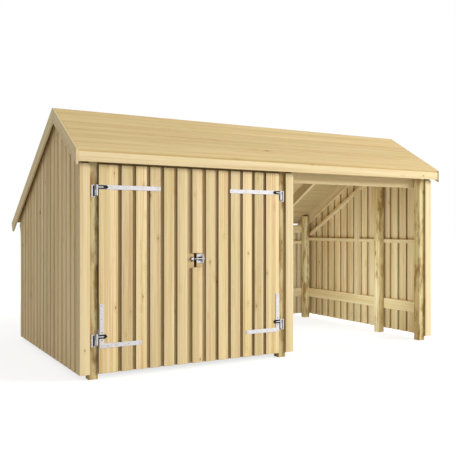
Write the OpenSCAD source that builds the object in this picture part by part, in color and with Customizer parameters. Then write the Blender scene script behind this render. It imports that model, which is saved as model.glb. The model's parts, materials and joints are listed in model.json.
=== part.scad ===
// Open-front garden shed with a saltbox roof, board-on-board walls and a lockable double-door room.
// Lengths are in millimetres, +X runs along the front, +Y into the depth and +Z up from the ground.

/* [Walls] */
// Length of the front, over the gable boards
wall_l = 4300; // [3900:10:5200]
// Depth from the face of the corner boards to the rear end of the gable panels
wall_d = 2387; // [2100:1:2900]
// Height of the boards' lower ends above the ground
ground_gap = 49; // [40:1:120]
// Distance from the left gable face to the middle post
middle_post_x = 2101; // [1900:1:2400]
// Width of a wall board
board_w = 106; // [92:1:125]
// Thickness of one layer of boards
board_t = 20; // [16:1:26]
// Spacing of the wall boards, edge to edge
board_pitch = 138.5; // [130:0.5:150]
// Room between the gable boards' heads and the roof boards
board_head_gap = 0.5; // [0.3:0.1:3]
// Width of the corner and trim boards
trim_w = 95; // [88:1:110]
// Thickness of the corner and trim boards
trim_t = 20; // [16:1:26]
// Gap between the corner and trim boards' heads and the fascia's lower edge
trim_head_gap = 6; // [4:1:12]

/* [Frame] */
// Side of a square post
post_w = 90; // [80:1:115]
// Radius of a post's rounded edges
post_r = 9; // [4:0.5:14]
// Room between a post's head and the roof boards
post_head_gap = 4; // [3:1:40]
// Room between sloping timbers that bear on each other
bearing_gap = 0.2; // [0.1:0.1:0.5]
// Thickness of rails, studs, beams and rafters
timber_t = 45; // [40:1:60]
// Height of the low rail's underside
low_rail_z = 306; // [250:1:420]
// Height of the low rail
low_rail_h = 132; // [95:1:170]
// Depth of the back wall's middle rail below the back beam
mid_rail_drop = 119; // [90:1:240]
// Rise of the gables' middle rail over the back wall's
gable_rail_rise = 47; // [0:1:70]
// Height of the middle rails
mid_rail_h = 45; // [35:1:60]
// Depth of the sloping rail's top below the roof's top, measured plumb
slope_rail_drop = 325; // [290:1:360]
// Height of the sloping rail, measured plumb
slope_rail_h = 46; // [40:1:60]
// Distance of the gable stud from the front of the corner boards
stud_y = 1194; // [1000:2:1500]
// Width of the gable stud
stud_w = 95; // [70:1:120]
// Distance of the gable posts' middle behind the ridge
gable_post_set = 35; // [0:1:60]
// Height of the front beam
front_beam_h = 159; // [120:1:180]
// Level bearing of a rafter on the front beam
front_seat = 20; // [12:1:40]
// Height of the back beam
back_beam_h = 115; // [90:1:140]
// Level bearing of a rafter on the back beam
back_seat = 45; // [20:1:45]

/* [Roof] */
// Height of the ridge
ridge_z = 2500; // [2440:1:2800]
// Distance of the ridge from the front of the corner boards
ridge_y = 720; // [640:2:860]
// Pitch of the front slope
front_pitch = 31; // [27:0.5:34]
// Pitch of the back slope
back_pitch = 29.8; // [27:0.1:32]
// Reach of the roof in front of the corner boards
front_overhang = 72; // [50:1:90]
// Reach of the roof behind the gable panels
back_overhang = 256; // [180:1:320]
// Distance of the lowest back roof board from the barge boards' lower ends
deck_short = 45; // [0:1:80]
// Reach of the roof beside the gable boards
gable_overhang = 54; // [40:1:120]
// Thickness of the roof boards
deck_t = 20; // [16:1:26]
// Height of a rafter
rafter_h = 120; // [110:1:160]
// Number of rafters that are evenly spaced from gable to gable
rafter_count = 8; // [6:1:10]
// Height of the fascia's face
fascia_h = 83; // [80:1:110]
// Thickness of fascia and barge boards
fascia_t = 20; // [16:1:26]
// Height of the barge boards
barge_h = 116; // [95:1:135]

/* [Doors] */
// Gap between a door and its post
door_gap = 6; // [5:0.5:12]
// Gap between the door tops and the fascia
door_head_gap = 12; // [8:1:30]
// Gap between the two doors behind the meeting board
meeting_gap = 26; // [20:1:40]
// Offset of the meeting board's middle from the meeting line
meeting_shift = 12; // [4:1:20]
// Room between the meeting board's rebate and the left door
rebate_gap = 7; // [5:0.5:9]
// Width of the left door's hinge-side board
left_edge_w = 172; // [140:1:180]
// Width of the right door's hinge-side board
right_edge_w = 159; // [140:1:180]
// Thickness of the ledges behind the doors
ledge_t = 35; // [25:1:40]
// Height of the ledges behind the doors
ledge_h = 95; // [70:1:120]
// Distance of the ledges' ends from the doors' edges
ledge_inset = 25; // [20:1:60]

/* [Hinges] */
// Height of a hinge strap
strap_h = 40; // [30:1:50]
// Thickness of a hinge strap
strap_t = 5; // [4:0.5:7]
// Length of the upper strap from the pin
strap_l = 610; // [450:5:700]
// Size of the cut corners at the upper strap's end
strap_cut = 8; // [2:1:15]
// Length of the lower angle's level arm from the door edge
angle_l = 396; // [300:4:500]
// Height of the lower angle's upright arm
angle_h = 393; // [300:3:480]
// Distance of the upper strap's top from the door's top
strap_drop = 182; // [120:1:260]
// Distance of the lower angle from the door's bottom
angle_rise = 226; // [140:1:300]
// Height of the lower eye above the angle's lower edge
angle_eye_rise = 82; // [60:1:160]
// Diameter of the hinge pin
pin_d = 12; // [10:0.5:16]
// Running clearance around pins and rods
pin_gap = 0.3; // [0.2:0.05:0.6]
// Wall of the rolled eye
eye_wall = 5; // [4:0.5:7]
// Distance of the pin from the door's edge
pin_inset = 23; // [21:1:26]
// Width of the hook's plate
hook_w = 34; // [30:1:50]
// Height of the hook's plate
hook_h = 110; // [90:1:130]
// Thickness of the hook's plate
hook_t = 5; // [4:0.5:8]
// Gap between the hook's plate and the eye
hook_gap = 3; // [2:0.5:8]
// Height of the hook's arm under the eye
arm_h = 54; // [20:1:60]
// Radius of the collar at the pin's foot
collar_r = 9; // [8:0.5:11]
// Gap between the collar and the eye
collar_gap = 1; // [0.5:0.5:2]
// Reach of the pin above the eye
pin_proud = 4; // [2:0.5:8]

/* [Bolt] */
// Height of the bolt above the doors' bottom
bolt_rise = 996; // [800:1:1100]
// Diameter of the bolt's rod
bolt_d = 12; // [10:0.5:14]
// Travel of the bolt
bolt_travel = 45; // [36:1:48]
// Height of the cut in the meeting board
cut_h = 138; // [120:2:180]
// Depth of the cut's middle below the bolt
cut_drop = 13; // [0:1:20]
// Thickness of the bolt's plate
plate_t = 3; // [2:0.5:4]
// Height of the bolt's plate
plate_h = 84; // [48:1:90]
// Width of the bolt's loops
loop_w = 9; // [7:0.5:10]
// Wall of the bolt's loops
loop_wall = 5; // [4:0.5:7]
// Room between the rod and the loops' floor
loop_floor = 2; // [1:0.5:3]
// Height of the bolt's flat handle
handle_h = 78; // [50:1:90]
// Thickness of the bolt's flat handle
handle_t = 9; // [6:0.5:10]
// Room between the rod and the keeper
keeper_gap = 2; // [1:0.5:3]
// Length of the keeper along the rod
keeper_l = 26; // [18:1:30]
// Distance of the keeper from the left door's edge
keeper_inset = 11; // [8:1:14]
// Distance of the drawn rod's tip from the keeper
tip_gap = 16; // [8:1:18]
// Distance of the bolt's plate from the right door's edge
plate_inset = 2; // [0:0.5:4]
// Room between the handle and the loops at both ends of the travel
handle_gap = 3; // [2:0.5:5]
// Reach of the drawn rod behind its far loop
rod_proud = 1; // [0.5:0.5:3]

/* [Hidden] */

$fn = 48;

// Colours of the timber and the fittings
POST = "#C9B27C";
WALL = "#D8BF8E";
TRIM = "#EBD9AE";
ROOF = "#D5BC86";
RAIL = "#D2B987";
STEEL = "#CDCED2";

// Panels: two layers of boards on rails, with the posts on the inner side of the rails;
// the back panel lies behind the rear posts and between the gables' closing boards
panel_t = 2 * board_t;
wall_t = panel_t + timber_t;
post_y = trim_t;
left_post_x = wall_t;
right_post_x = wall_l - wall_t - post_w;
back_post_y = wall_d - post_w;
gable_post_y = ridge_y + gable_post_set - post_w / 2;
partition_x = middle_post_x + post_w;
partition_face = partition_x + wall_t;
back_rail_end = wall_d + timber_t;
back_face = wall_d + wall_t;
trim_lap = trim_w - wall_t;

// Roof heights: the top of the roof boards, and what lies plumb below it
deck_front = deck_t / cos(front_pitch);
deck_back = deck_t / cos(back_pitch);
rafter_front = rafter_h / cos(front_pitch);
rafter_back = rafter_h / cos(back_pitch);
eave_y = -front_overhang;
back_eave_y = wall_d + back_overhang;
function front_z(y) = ridge_z - (ridge_y - y) * tan(front_pitch);
function back_z(y) = ridge_z - (y - ridge_y) * tan(back_pitch);
function under_front(y) = front_z(y) - deck_front;
function under_back(y) = back_z(y) - deck_back;

// Beams: the rafters sit level on them by the seats' lengths
beam_y = post_y + post_w;
front_beam_top = under_front(beam_y + front_seat) - rafter_front;
back_beam_top = under_back(back_rail_end - back_seat) - rafter_back;
mid_rail_z = back_beam_top - back_beam_h - mid_rail_drop - mid_rail_h;
gable_rail_z = mid_rail_z + gable_rail_rise;
fascia_z = under_front(eave_y) - fascia_h;
front_post_top = under_front(post_y) - post_head_gap;
ridge_post_top = min(under_front(gable_post_y), under_back(gable_post_y + post_w)) - post_head_gap;
back_post_top = under_back(back_post_y + post_w) - post_head_gap;

// Doors: the leaves between the posts, with the meeting line halfway
door_z = ground_gap;
door_top = fascia_z - door_head_gap;
left_edge = left_post_x + post_w + door_gap;
right_edge = middle_post_x - door_gap;
meeting_x = (left_edge + right_edge) / 2;
left_free = meeting_x - meeting_gap / 2;
right_free = meeting_x + meeting_gap / 2;
cover_x = meeting_x + meeting_shift - board_w / 2;
cover_end = cover_x + board_w;
board_gap = board_pitch - board_w;
left_starts = spaced_boards(left_edge + left_edge_w + board_gap, cover_x - board_gap);
right_count = len(spaced_boards(cover_end + board_gap / 2, right_edge - right_edge_w - board_gap));
right_first = right_edge - right_edge_w - right_count * board_pitch;
right_starts = [for (k = [0 : right_count - 1]) right_first + k * board_pitch];

// Hinges: straps on the doors' faces, eyes round pins that stand in front of the posts
eye_r = pin_d / 2 + pin_gap + eye_wall;
pin_y = eye_r - strap_t;
left_pin_x = left_edge - pin_inset;
right_pin_x = right_edge + pin_inset;
upper_eye_z = door_top - strap_drop - strap_h;
angle_z = door_z + angle_rise;
lower_eye_z = angle_z + angle_eye_rise;
hook_x = left_pin_x - eye_r - hook_gap - hook_w;

// Bolt: the rod lies in the cut of the meeting board, in front of the closing boards
bolt_z = door_z + bolt_rise;
cut_z = bolt_z - cut_drop - cut_h / 2;
plate_y = board_t - plate_t;
rod_y = plate_y - loop_floor - bolt_d / 2;
keeper_end = left_free - keeper_inset;
rod_tip = keeper_end + tip_gap;
loop_x = right_free + plate_inset;
handle_x = loop_x + loop_w + bolt_travel + handle_gap;
far_loop_x = handle_x + handle_t + handle_gap;
rod_end = far_loop_x + loop_w + rod_proud;
ledge_heights = [angle_z, bolt_z - ledge_h / 2, upper_eye_z + strap_h - ledge_h];

// Starts of boards at the pitch, from one place up to a last end
function spaced_boards(from, upto) =
    [for (x = [from : board_pitch : upto - board_w]) x];

// Outline of a board-on-board layer: outer boards first, then the points of a closing board at the
// far end, if there is one, then boards that close the gaps behind
function board_outline(starts, widths, closing = []) = concat(
    [for (k = [0 : len(starts) - 1])
        for (p = [[0, board_t], [0, 0], [widths[k], 0], [widths[k], board_t]])
            [starts[k] + p[0], p[1]]],
    closing,
    [for (k = [len(starts) - 2 : -1 : 0])
        for (p = [[0.5, 1], [0.5, 2], [-0.5, 2], [-0.5, 1]])
            [(starts[k] + widths[k] + starts[k + 1]) / 2 + p[0] * board_w, p[1] * board_t]]
);

// The same outline over a whole panel: the pitch is evened out so that both ends are full boards
function panel_outline(length, closing = []) =
    let (count = round((length - board_w) / board_pitch) + 1)
    let (step = (length - board_w) / (count - 1))
    board_outline([for (k = [0 : count - 1]) k * step], [for (k = [0 : count - 1]) board_w], closing);

// Closing board behind a gable panel's last board, as far as the back boards' face
function closing_outline(length) = [
    [length + wall_t, board_t],
    [length + wall_t, panel_t],
    [length + wall_t - board_w, panel_t],
    [length + wall_t - board_w, board_t]
];

// Puts the drawing frame's left front corner so that the shed's middle is the origin
module place() {
    translate([-wall_l / 2, -(eave_y + back_eave_y) / 2, 0])
        children();
}

// Extrudes an outline in depth and height along the length
module along_x(from, length) {
    translate([from, 0, 0])
        rotate([90, 0, 90])
            linear_extrude(length)
                children();
}

// A post with rounded edges
module post(x, y, top) {
    color(POST)
        place()
            translate([x, y, 0])
                linear_extrude(top)
                    rounded_square(post_w, post_r);
}

module rounded_square(side, radius) {
    union() {
        translate([radius, 0])
            square([side - 2 * radius, side]);
        translate([0, radius])
            square([side, side - 2 * radius]);
        for (x = [radius, side - radius], y = [radius, side - radius])
            translate([x, y])
                circle(radius);
    }
}

// Space below the roof boards, used to cut the gable panels to the slopes
module below_roof() {
    ridge_under = min(under_front(ridge_y), under_back(ridge_y));
    along_x(-gable_overhang, wall_l + 2 * gable_overhang)
        polygon([
            [eave_y, 0],
            [eave_y, under_front(eave_y) - board_head_gap],
            [ridge_y, ridge_under - board_head_gap],
            [back_eave_y, under_back(back_eave_y) - board_head_gap],
            [back_eave_y, 0]
        ]);
}

// Upright boards of a panel across the depth; the outer face is at x, and turn is 1 or -1 inward
module cross_boards(x, turn, outline) {
    intersection() {
        translate([x, post_y, ground_gap])
            linear_extrude(ridge_z)
                polygon([for (p = outline) [turn * p[1], p[0]]]);
        below_roof();
    }
}

module gable_boards(x, turn) {
    depth = wall_d - post_y;
    color(WALL)
        place()
            cross_boards(x, turn, panel_outline(depth, closing_outline(depth)));
}

// Rails of a panel across the depth: the low one, the middle one beside the stud, and the sloping one
module cross_rails(x) {
    color(RAIL)
        place() {
            translate([x, post_y, low_rail_z])
                cube([timber_t, wall_d - post_y, low_rail_h]);
            translate([x, post_y, gable_rail_z])
                cube([timber_t, stud_y - post_y, mid_rail_h]);
            translate([x, stud_y + stud_w, gable_rail_z])
                cube([timber_t, wall_d - stud_y - stud_w, mid_rail_h]);
            along_x(x, timber_t)
                polygon([
                    [gable_post_y + post_w, back_z(gable_post_y + post_w) - slope_rail_drop],
                    [back_post_y, back_z(back_post_y) - slope_rail_drop],
                    [back_post_y, back_z(back_post_y) - slope_rail_drop - slope_rail_h],
                    [gable_post_y + post_w, back_z(gable_post_y + post_w) - slope_rail_drop - slope_rail_h]
                ]);
        }
}

// Stud between the low rail and the sloping rail
module gable_stud(x) {
    head_drop = slope_rail_drop + slope_rail_h + bearing_gap;
    along_x(x, timber_t)
        polygon([
            [stud_y, low_rail_z + low_rail_h],
            [stud_y, back_z(stud_y) - head_drop],
            [stud_y + stud_w, back_z(stud_y + stud_w) - head_drop],
            [stud_y + stud_w, low_rail_z + low_rail_h]
        ]);
}

// Rafter places: evenly spaced from gable to gable, and one more in the partition's plane
function rafter_places() =
    let (step = (wall_l - 2 * panel_t - timber_t) / (rafter_count - 1))
    concat([for (k = [0 : rafter_count - 1]) panel_t + k * step], [partition_x]);

// Rafter of the front slope, level below from its tail to the front beam
module front_rafter() {
    seat_end = beam_y + front_seat;
    tail_y = eave_y + fascia_t;
    polygon([
        [tail_y, front_beam_top],
        [tail_y, under_front(tail_y) - bearing_gap],
        [ridge_y, under_front(ridge_y) - bearing_gap],
        [ridge_y, under_front(ridge_y) - rafter_front],
        [seat_end, front_beam_top]
    ]);
}

// Rafter of the back slope, notched over the back wall and cut square at its tail
module back_rafter() {
    seat_y = back_rail_end - back_seat;
    tail_y = back_eave_y - deck_t * sin(back_pitch);
    polygon([
        [ridge_y, under_back(ridge_y) - bearing_gap],
        [tail_y, under_back(tail_y) - bearing_gap],
        [tail_y - rafter_h * sin(back_pitch), under_back(tail_y) - rafter_h * cos(back_pitch)],
        [back_face, under_back(back_face) - rafter_back],
        [back_face, back_beam_top],
        [seat_y, back_beam_top],
        [ridge_y, under_back(ridge_y) - rafter_back]
    ]);
}

// Board along the front slope's edge, plumb at both ends
module front_slope_board(depth) {
    polygon([
        [eave_y, front_z(eave_y)],
        [ridge_y, front_z(ridge_y)],
        [ridge_y, front_z(ridge_y) - depth / cos(front_pitch)],
        [eave_y, front_z(eave_y) - depth / cos(front_pitch)]
    ]);
}

// Board along the back slope's edge, plumb at the ridge and square at its lower end
module back_slope_board(depth, end_y) {
    polygon([
        [ridge_y, back_z(ridge_y)],
        [end_y, back_z(end_y)],
        [end_y - depth * sin(back_pitch), back_z(end_y) - depth * cos(back_pitch)],
        [ridge_y, back_z(ridge_y) - depth / cos(back_pitch)]
    ]);
}

// Boards over the ends of the cross panels
module trim_board(x) {
    color(TRIM)
        place()
            translate([x, 0, ground_gap])
                cube([trim_w, trim_t, fascia_z - trim_head_gap - ground_gap]);
}

// Mirrors the left door's fittings to the right door
module mirrored(right) {
    if (right)
        translate([2 * meeting_x, 0, 0])
            mirror([1, 0, 0])
                children();
    else
        children();
}

// Hook on a post: a plate, an arm under the eye and the pin through it
module hook(eye_z) {
    arm_z = eye_z - collar_gap - arm_h;
    translate([hook_x, post_y - hook_t, eye_z + strap_h - hook_h])
        cube([hook_w, hook_t, hook_h]);
    translate([hook_x + hook_w / 2, pin_y, arm_z])
        cube([left_pin_x - hook_x - hook_w / 2, post_y - hook_t - pin_y, arm_h]);
    translate([left_pin_x, pin_y, arm_z])
        cylinder(r = collar_r, h = arm_h);
    translate([left_pin_x, pin_y, arm_z])
        cylinder(d = pin_d, h = arm_h + collar_gap + strap_h + pin_proud);
}

// Eye rolled from the strap's end, with its bore
module eye(eye_z) {
    translate([left_pin_x, pin_y, eye_z])
        cylinder(r = eye_r, h = strap_h);
}

module eye_bore(eye_z) {
    translate([left_pin_x, pin_y, eye_z - 1])
        cylinder(d = pin_d + 2 * pin_gap, h = strap_h + 2);
}

// Long strap with cut corners at its end
module upper_strap() {
    difference() {
        union() {
            eye(upper_eye_z);
            translate([left_pin_x, 0, upper_eye_z])
                rotate([90, 0, 0])
                    linear_extrude(strap_t)
                        polygon([
                            [0, 0],
                            [strap_l - strap_cut, 0],
                            [strap_l, strap_cut],
                            [strap_l, strap_h - strap_cut],
                            [strap_l - strap_cut, strap_h],
                            [0, strap_h]
                        ]);
        }
        eye_bore(upper_eye_z);
    }
}

// Angle plate at the door's lower corner, with its eye beside the upright arm
module lower_angle() {
    difference() {
        union() {
            eye(lower_eye_z);
            translate([0, 0, angle_z])
                rotate([90, 0, 0])
                    linear_extrude(strap_t)
                        polygon([
                            [left_edge, 0],
                            [left_edge + angle_l, 0],
                            [left_edge + angle_l, strap_h],
                            [left_edge + strap_h, strap_h],
                            [left_edge + strap_h, angle_h],
                            [left_edge, angle_h],
                            [left_edge, angle_eye_rise + strap_h],
                            [left_pin_x, angle_eye_rise + strap_h],
                            [left_pin_x, angle_eye_rise],
                            [left_edge, angle_eye_rise]
                        ]);
        }
        eye_bore(lower_eye_z);
    }
}

module hinge_hooks(right) {
    color(STEEL)
        place()
            mirrored(right)
                for (eye_z = [upper_eye_z, lower_eye_z])
                    hook(eye_z);
}

module hinge_straps(right) {
    color(STEEL)
        place()
            mirrored(right) {
                upper_strap();
                lower_angle();
            }
}

// Upright boards of a door
module door_boards(starts, widths) {
    color(WALL)
        place()
            translate([0, 0, door_z])
                linear_extrude(door_top - door_z)
                    polygon(board_outline(starts, widths));
}

// Board at a door's free edge, behind the meeting board
module closing_board(x) {
    color(WALL)
        place()
            translate([x, board_t, door_z])
                cube([board_w, board_t, door_top - door_z]);
}

module door_ledges(from, upto) {
    color(RAIL)
        place()
            for (z = ledge_heights)
                translate([from, panel_t, z])
                    cube([upto - from, ledge_t, ledge_h]);
}

// Meeting board of the right door: full over its own door, rebated over the left one
module meeting_board(z, height) {
    translate([0, 0, z])
        linear_extrude(height)
            polygon([
                [cover_x, 0],
                [cover_end, 0],
                [cover_end, board_t],
                [right_free, board_t],
                [right_free, board_t - rebate_gap],
                [cover_x, board_t - rebate_gap]
            ]);
}

// Loop of the bolt, open towards the plate and the board behind it
module rod_loop(x, length, gap) {
    inner = bolt_d / 2 + gap;
    translate([x, 0, bolt_z])
        rotate([90, 0, 90])
            linear_extrude(length)
                polygon([
                    [board_t, -inner - loop_wall],
                    [rod_y - inner - loop_wall, -inner - loop_wall],
                    [rod_y - inner - loop_wall, inner + loop_wall],
                    [board_t, inner + loop_wall],
                    [board_t, inner],
                    [rod_y - inner, inner],
                    [rod_y - inner, -inner],
                    [board_t, -inner]
                ]);
}

module front_left_post() { post(left_post_x, post_y, front_post_top); }

module front_middle_post() { post(middle_post_x, post_y, front_post_top); }

module front_right_post() { post(right_post_x, post_y, front_post_top); }

module back_left_post() { post(left_post_x, back_post_y, back_post_top); }

module back_middle_post() { post(middle_post_x, back_post_y, back_post_top); }

module back_right_post() { post(right_post_x, back_post_y, back_post_top); }

module left_gable_post() { post(left_post_x, gable_post_y, ridge_post_top); }

module partition_post() { post(middle_post_x, gable_post_y, ridge_post_top); }

module right_gable_post() { post(right_post_x, gable_post_y, ridge_post_top); }

module left_gable_boards() { gable_boards(0, 1); }

module right_gable_boards() { gable_boards(wall_l, -1); }

module partition_boards() {
    color(WALL)
        place()
            difference() {
                cross_boards(partition_face, -1, panel_outline(back_rail_end - post_y));
                front_beam_bar();
                back_beam_bar();
                back_rail_bars();
            }
}

module back_boards() {
    color(WALL)
        place()
            translate([panel_t, back_face, ground_gap])
                linear_extrude(back_beam_top - ground_gap)
                    polygon([for (p = panel_outline(wall_l - 2 * panel_t)) [p[0], -p[1]]]);
}

module left_gable_rails() { cross_rails(panel_t); }

module right_gable_rails() { cross_rails(wall_l - panel_t - timber_t); }

module partition_rails() { cross_rails(partition_x); }

module back_rail_bars() {
    translate([panel_t, wall_d, low_rail_z])
        cube([wall_l - 2 * panel_t, timber_t, low_rail_h]);
    translate([panel_t, wall_d, mid_rail_z])
        cube([wall_l - 2 * panel_t, timber_t, mid_rail_h]);
}

module back_rails() {
    color(RAIL)
        place()
            back_rail_bars();
}

module gable_studs() {
    color(RAIL)
        place()
            for (x = [panel_t, partition_x, wall_l - panel_t - timber_t])
                gable_stud(x);
}

module front_beam_bar() {
    translate([wall_t, beam_y, front_beam_top - front_beam_h])
        cube([wall_l - 2 * wall_t, timber_t, front_beam_h]);
}

module front_beam() {
    color(RAIL)
        place()
            front_beam_bar();
}

module back_beam_bar() {
    translate([panel_t, wall_d, back_beam_top - back_beam_h])
        cube([wall_l - 2 * panel_t, timber_t, back_beam_h]);
}

module back_beam() {
    color(RAIL)
        place()
            back_beam_bar();
}

module front_rafters() {
    color(RAIL)
        place()
            for (x = rafter_places())
                along_x(x, timber_t)
                    front_rafter();
}

module back_rafters() {
    color(RAIL)
        place()
            for (x = rafter_places())
                along_x(x, timber_t)
                    back_rafter();
}

module front_roof_boards() {
    color(ROOF)
        place()
            along_x(fascia_t - gable_overhang, wall_l + 2 * (gable_overhang - fascia_t))
                front_slope_board(deck_t);
}

module back_roof_boards() {
    color(ROOF)
        place()
            along_x(fascia_t - gable_overhang, wall_l + 2 * (gable_overhang - fascia_t))
                back_slope_board(deck_t, back_eave_y - deck_short);
}

module front_fascia() {
    color(TRIM)
        place()
            along_x(fascia_t - gable_overhang, wall_l + 2 * (gable_overhang - fascia_t))
                polygon([
                    [eave_y, fascia_z],
                    [eave_y, under_front(eave_y)],
                    [eave_y + fascia_t, under_front(eave_y + fascia_t)],
                    [eave_y + fascia_t, fascia_z]
                ]);
}

module front_barge(x) {
    color(TRIM)
        place()
            along_x(x, fascia_t)
                front_slope_board(barge_h);
}

module back_barge(x) {
    color(TRIM)
        place()
            along_x(x, fascia_t)
                back_slope_board(barge_h, back_eave_y);
}

module left_front_barge() { front_barge(-gable_overhang); }

module left_back_barge() { back_barge(-gable_overhang); }

module right_front_barge() { front_barge(wall_l + gable_overhang - fascia_t); }

module right_back_barge() { back_barge(wall_l + gable_overhang - fascia_t); }

module left_corner_board() { trim_board(0); }

module middle_trim_board() { trim_board(partition_x - trim_lap); }

module right_corner_board() { trim_board(wall_l - trim_w); }

module left_hooks() { hinge_hooks(false); }

module right_hooks() { hinge_hooks(true); }

module left_door_boards() {
    door_boards(
        concat([left_edge], left_starts),
        concat([left_edge_w], [for (x = left_starts) board_w])
    );
}

module right_door_boards() {
    door_boards(
        concat(right_starts, [right_edge - right_edge_w]),
        concat([for (x = right_starts) board_w], [right_edge_w])
    );
}

module left_closing_board() { closing_board(left_free - board_w); }

module right_closing_board() { closing_board(right_free); }

module left_door_ledges() { door_ledges(left_edge + ledge_inset, left_free - ledge_inset); }

module right_door_ledges() { door_ledges(right_free + ledge_inset, right_edge - ledge_inset); }

module left_straps() { hinge_straps(false); }

module right_straps() { hinge_straps(true); }

module meeting_boards() {
    color(WALL)
        place() {
            meeting_board(door_z, cut_z - door_z);
            meeting_board(cut_z + cut_h, door_top - cut_z - cut_h);
        }
}

module bolt_keeper() {
    color(STEEL)
        place()
            rod_loop(keeper_end - keeper_l, keeper_l, keeper_gap);
}

module bolt_plate() {
    color(STEEL)
        place() {
            translate([loop_x, plate_y, bolt_z - plate_h / 2])
                cube([far_loop_x + loop_w - loop_x, plate_t, plate_h]);
            rod_loop(loop_x, loop_w, pin_gap);
            rod_loop(far_loop_x, loop_w, pin_gap);
        }
}

module bolt_rod() {
    color(STEEL)
        place() {
            translate([rod_tip, rod_y, bolt_z])
                rotate([0, 90, 0])
                    cylinder(d = bolt_d, h = rod_end - rod_tip);
            translate([handle_x, rod_y - bolt_d / 2, bolt_z - handle_h / 2])
                cube([handle_t, bolt_d, handle_h]);
        }
}

front_left_post();
front_middle_post();
front_right_post();
back_left_post();
back_middle_post();
back_right_post();
left_gable_post();
partition_post();
right_gable_post();
left_gable_boards();
right_gable_boards();
partition_boards();
back_boards();
left_gable_rails();
right_gable_rails();
partition_rails();
back_rails();
gable_studs();
front_beam();
back_beam();
front_rafters();
back_rafters();
front_roof_boards();
back_roof_boards();
front_fascia();
left_front_barge();
left_back_barge();
right_front_barge();
right_back_barge();
left_corner_board();
middle_trim_board();
right_corner_board();
left_hooks();
right_hooks();
left_door_boards();
left_closing_board();
left_door_ledges();
left_straps();
bolt_keeper();
right_door_boards();
right_closing_board();
right_door_ledges();
meeting_boards();
right_straps();
bolt_plate();
bolt_rod();
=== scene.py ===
"""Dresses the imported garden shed: pine boards and posts, galvanised hinges and bolt, studio light and camera."""

import json
import logging
import math
from dataclasses import dataclass, field
from enum import Enum
from typing import Optional, Sequence

import bpy
import numpy as np
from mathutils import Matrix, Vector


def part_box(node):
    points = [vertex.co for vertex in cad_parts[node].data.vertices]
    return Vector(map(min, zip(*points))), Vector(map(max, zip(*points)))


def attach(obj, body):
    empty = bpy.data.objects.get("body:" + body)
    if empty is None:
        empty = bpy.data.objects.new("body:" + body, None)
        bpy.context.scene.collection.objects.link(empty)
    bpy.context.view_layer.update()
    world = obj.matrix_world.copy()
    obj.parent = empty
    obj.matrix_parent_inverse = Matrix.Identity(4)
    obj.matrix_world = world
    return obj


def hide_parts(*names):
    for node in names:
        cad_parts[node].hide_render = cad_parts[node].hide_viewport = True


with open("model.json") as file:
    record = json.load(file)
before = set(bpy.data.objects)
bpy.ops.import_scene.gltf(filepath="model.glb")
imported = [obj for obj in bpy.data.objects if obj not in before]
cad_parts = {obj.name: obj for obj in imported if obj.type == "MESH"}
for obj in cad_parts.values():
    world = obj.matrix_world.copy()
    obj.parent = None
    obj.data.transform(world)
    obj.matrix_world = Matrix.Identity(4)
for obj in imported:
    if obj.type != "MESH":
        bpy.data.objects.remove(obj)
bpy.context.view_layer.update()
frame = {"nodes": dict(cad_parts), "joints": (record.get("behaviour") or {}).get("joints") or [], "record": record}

LOG = logging.getLogger("shed")
Array = np.ndarray
Triple = tuple[float, float, float]
Color = Triple
Outline = list[tuple[float, float]]
Socket = bpy.types.NodeSocket

SEED = 41

X = np.array((1.0, 0.0, 0.0))
Y = np.array((0.0, 1.0, 0.0))
Z = np.array((0.0, 0.0, 1.0))

# Timber sizes in metres, as the solids have them
BOARD_WIDTH = 0.106
BOARD_DEPTH = 0.020
BOARD_PITCH = 0.1385
BOARD_HEAD_GAP = 0.0005
DECK_DEPTH = 0.020
TIMBER_DEPTH = 0.045
POST_WIDTH = 0.090

# Rounding of long edges and chamfer of ends, in metres
BOARD_ROUND = 0.003
BOARD_EDGE = 0.0025
FRAME_ROUND = 0.003
FRAME_EDGE = 0.002
POST_ROUND = 0.0126
POST_EDGE = 0.004
LIP = 0.001

# How far a piece of steel sinks into what carries it
SINK = 0.0005

# Slopes of the roof, with the directions up the front and down the back
FRONT_PITCH = math.radians(31.0)
BACK_PITCH = math.radians(29.8)
UP_FRONT = np.array((0.0, math.cos(FRONT_PITCH), math.sin(FRONT_PITCH)))
DOWN_BACK = np.array((0.0, math.cos(BACK_PITCH), -math.sin(BACK_PITCH)))

# Radius and height of the points on turned profiles
SCREW_HEAD = ((0.0074, SINK), (0.0072, -0.0006), (0.0060, -0.0014), (0.0036, -0.0018), (0.0030, -0.0017),
              (0.0026, -0.0002))
SMALL_SCREW_HEAD = ((0.0052, SINK), (0.0051, -0.0005), (0.0040, -0.0014), (0.0024, -0.0017), (0.0018, -0.0004))
SCREW_PIT = ((0.0030, 0.001), (0.0030, -0.0011), (0.0026, -0.0013))
OPEN_HOLE = ((0.0055, 0.001), (0.0055, -0.0003), (0.0050, -0.0005))

# Share of the radius and height of the points on a hook pin's head and on the bolt's tip
PIN_HEAD = ((1.0, 0.0015), (0.86, 0.0032), (0.5, 0.004))
ROD_TIP = ((0.55, 0.0), (0.9, 0.0014), (1.0, 0.003))

# Points on the circles of screw heads, screw pits, pins and eyes
HEAD_SEGMENTS = 16
PIT_SEGMENTS = 12
PIN_SEGMENTS = 24
EYE_SEGMENTS = 28

# Folds that are sharper than this stay sharp in the shading
SHARP_ANGLE = math.radians(32.0)
# A corner's curve takes no more than this share of an edge
CORNER_SHARE = 0.45
# Lengths below this count as nothing
TINY = 1e-12
# Values between which most of a cloud pattern lies, and nearly all of it
CLOUD_CORE = (0.3, 0.7)
CLOUD_SPAN = (0.2, 0.8)
# Detail and roughness of streaky and of fine cloud patterns
STREAKY = (3.0, 0.55)
FINE = (3.0, 0.6)


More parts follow.
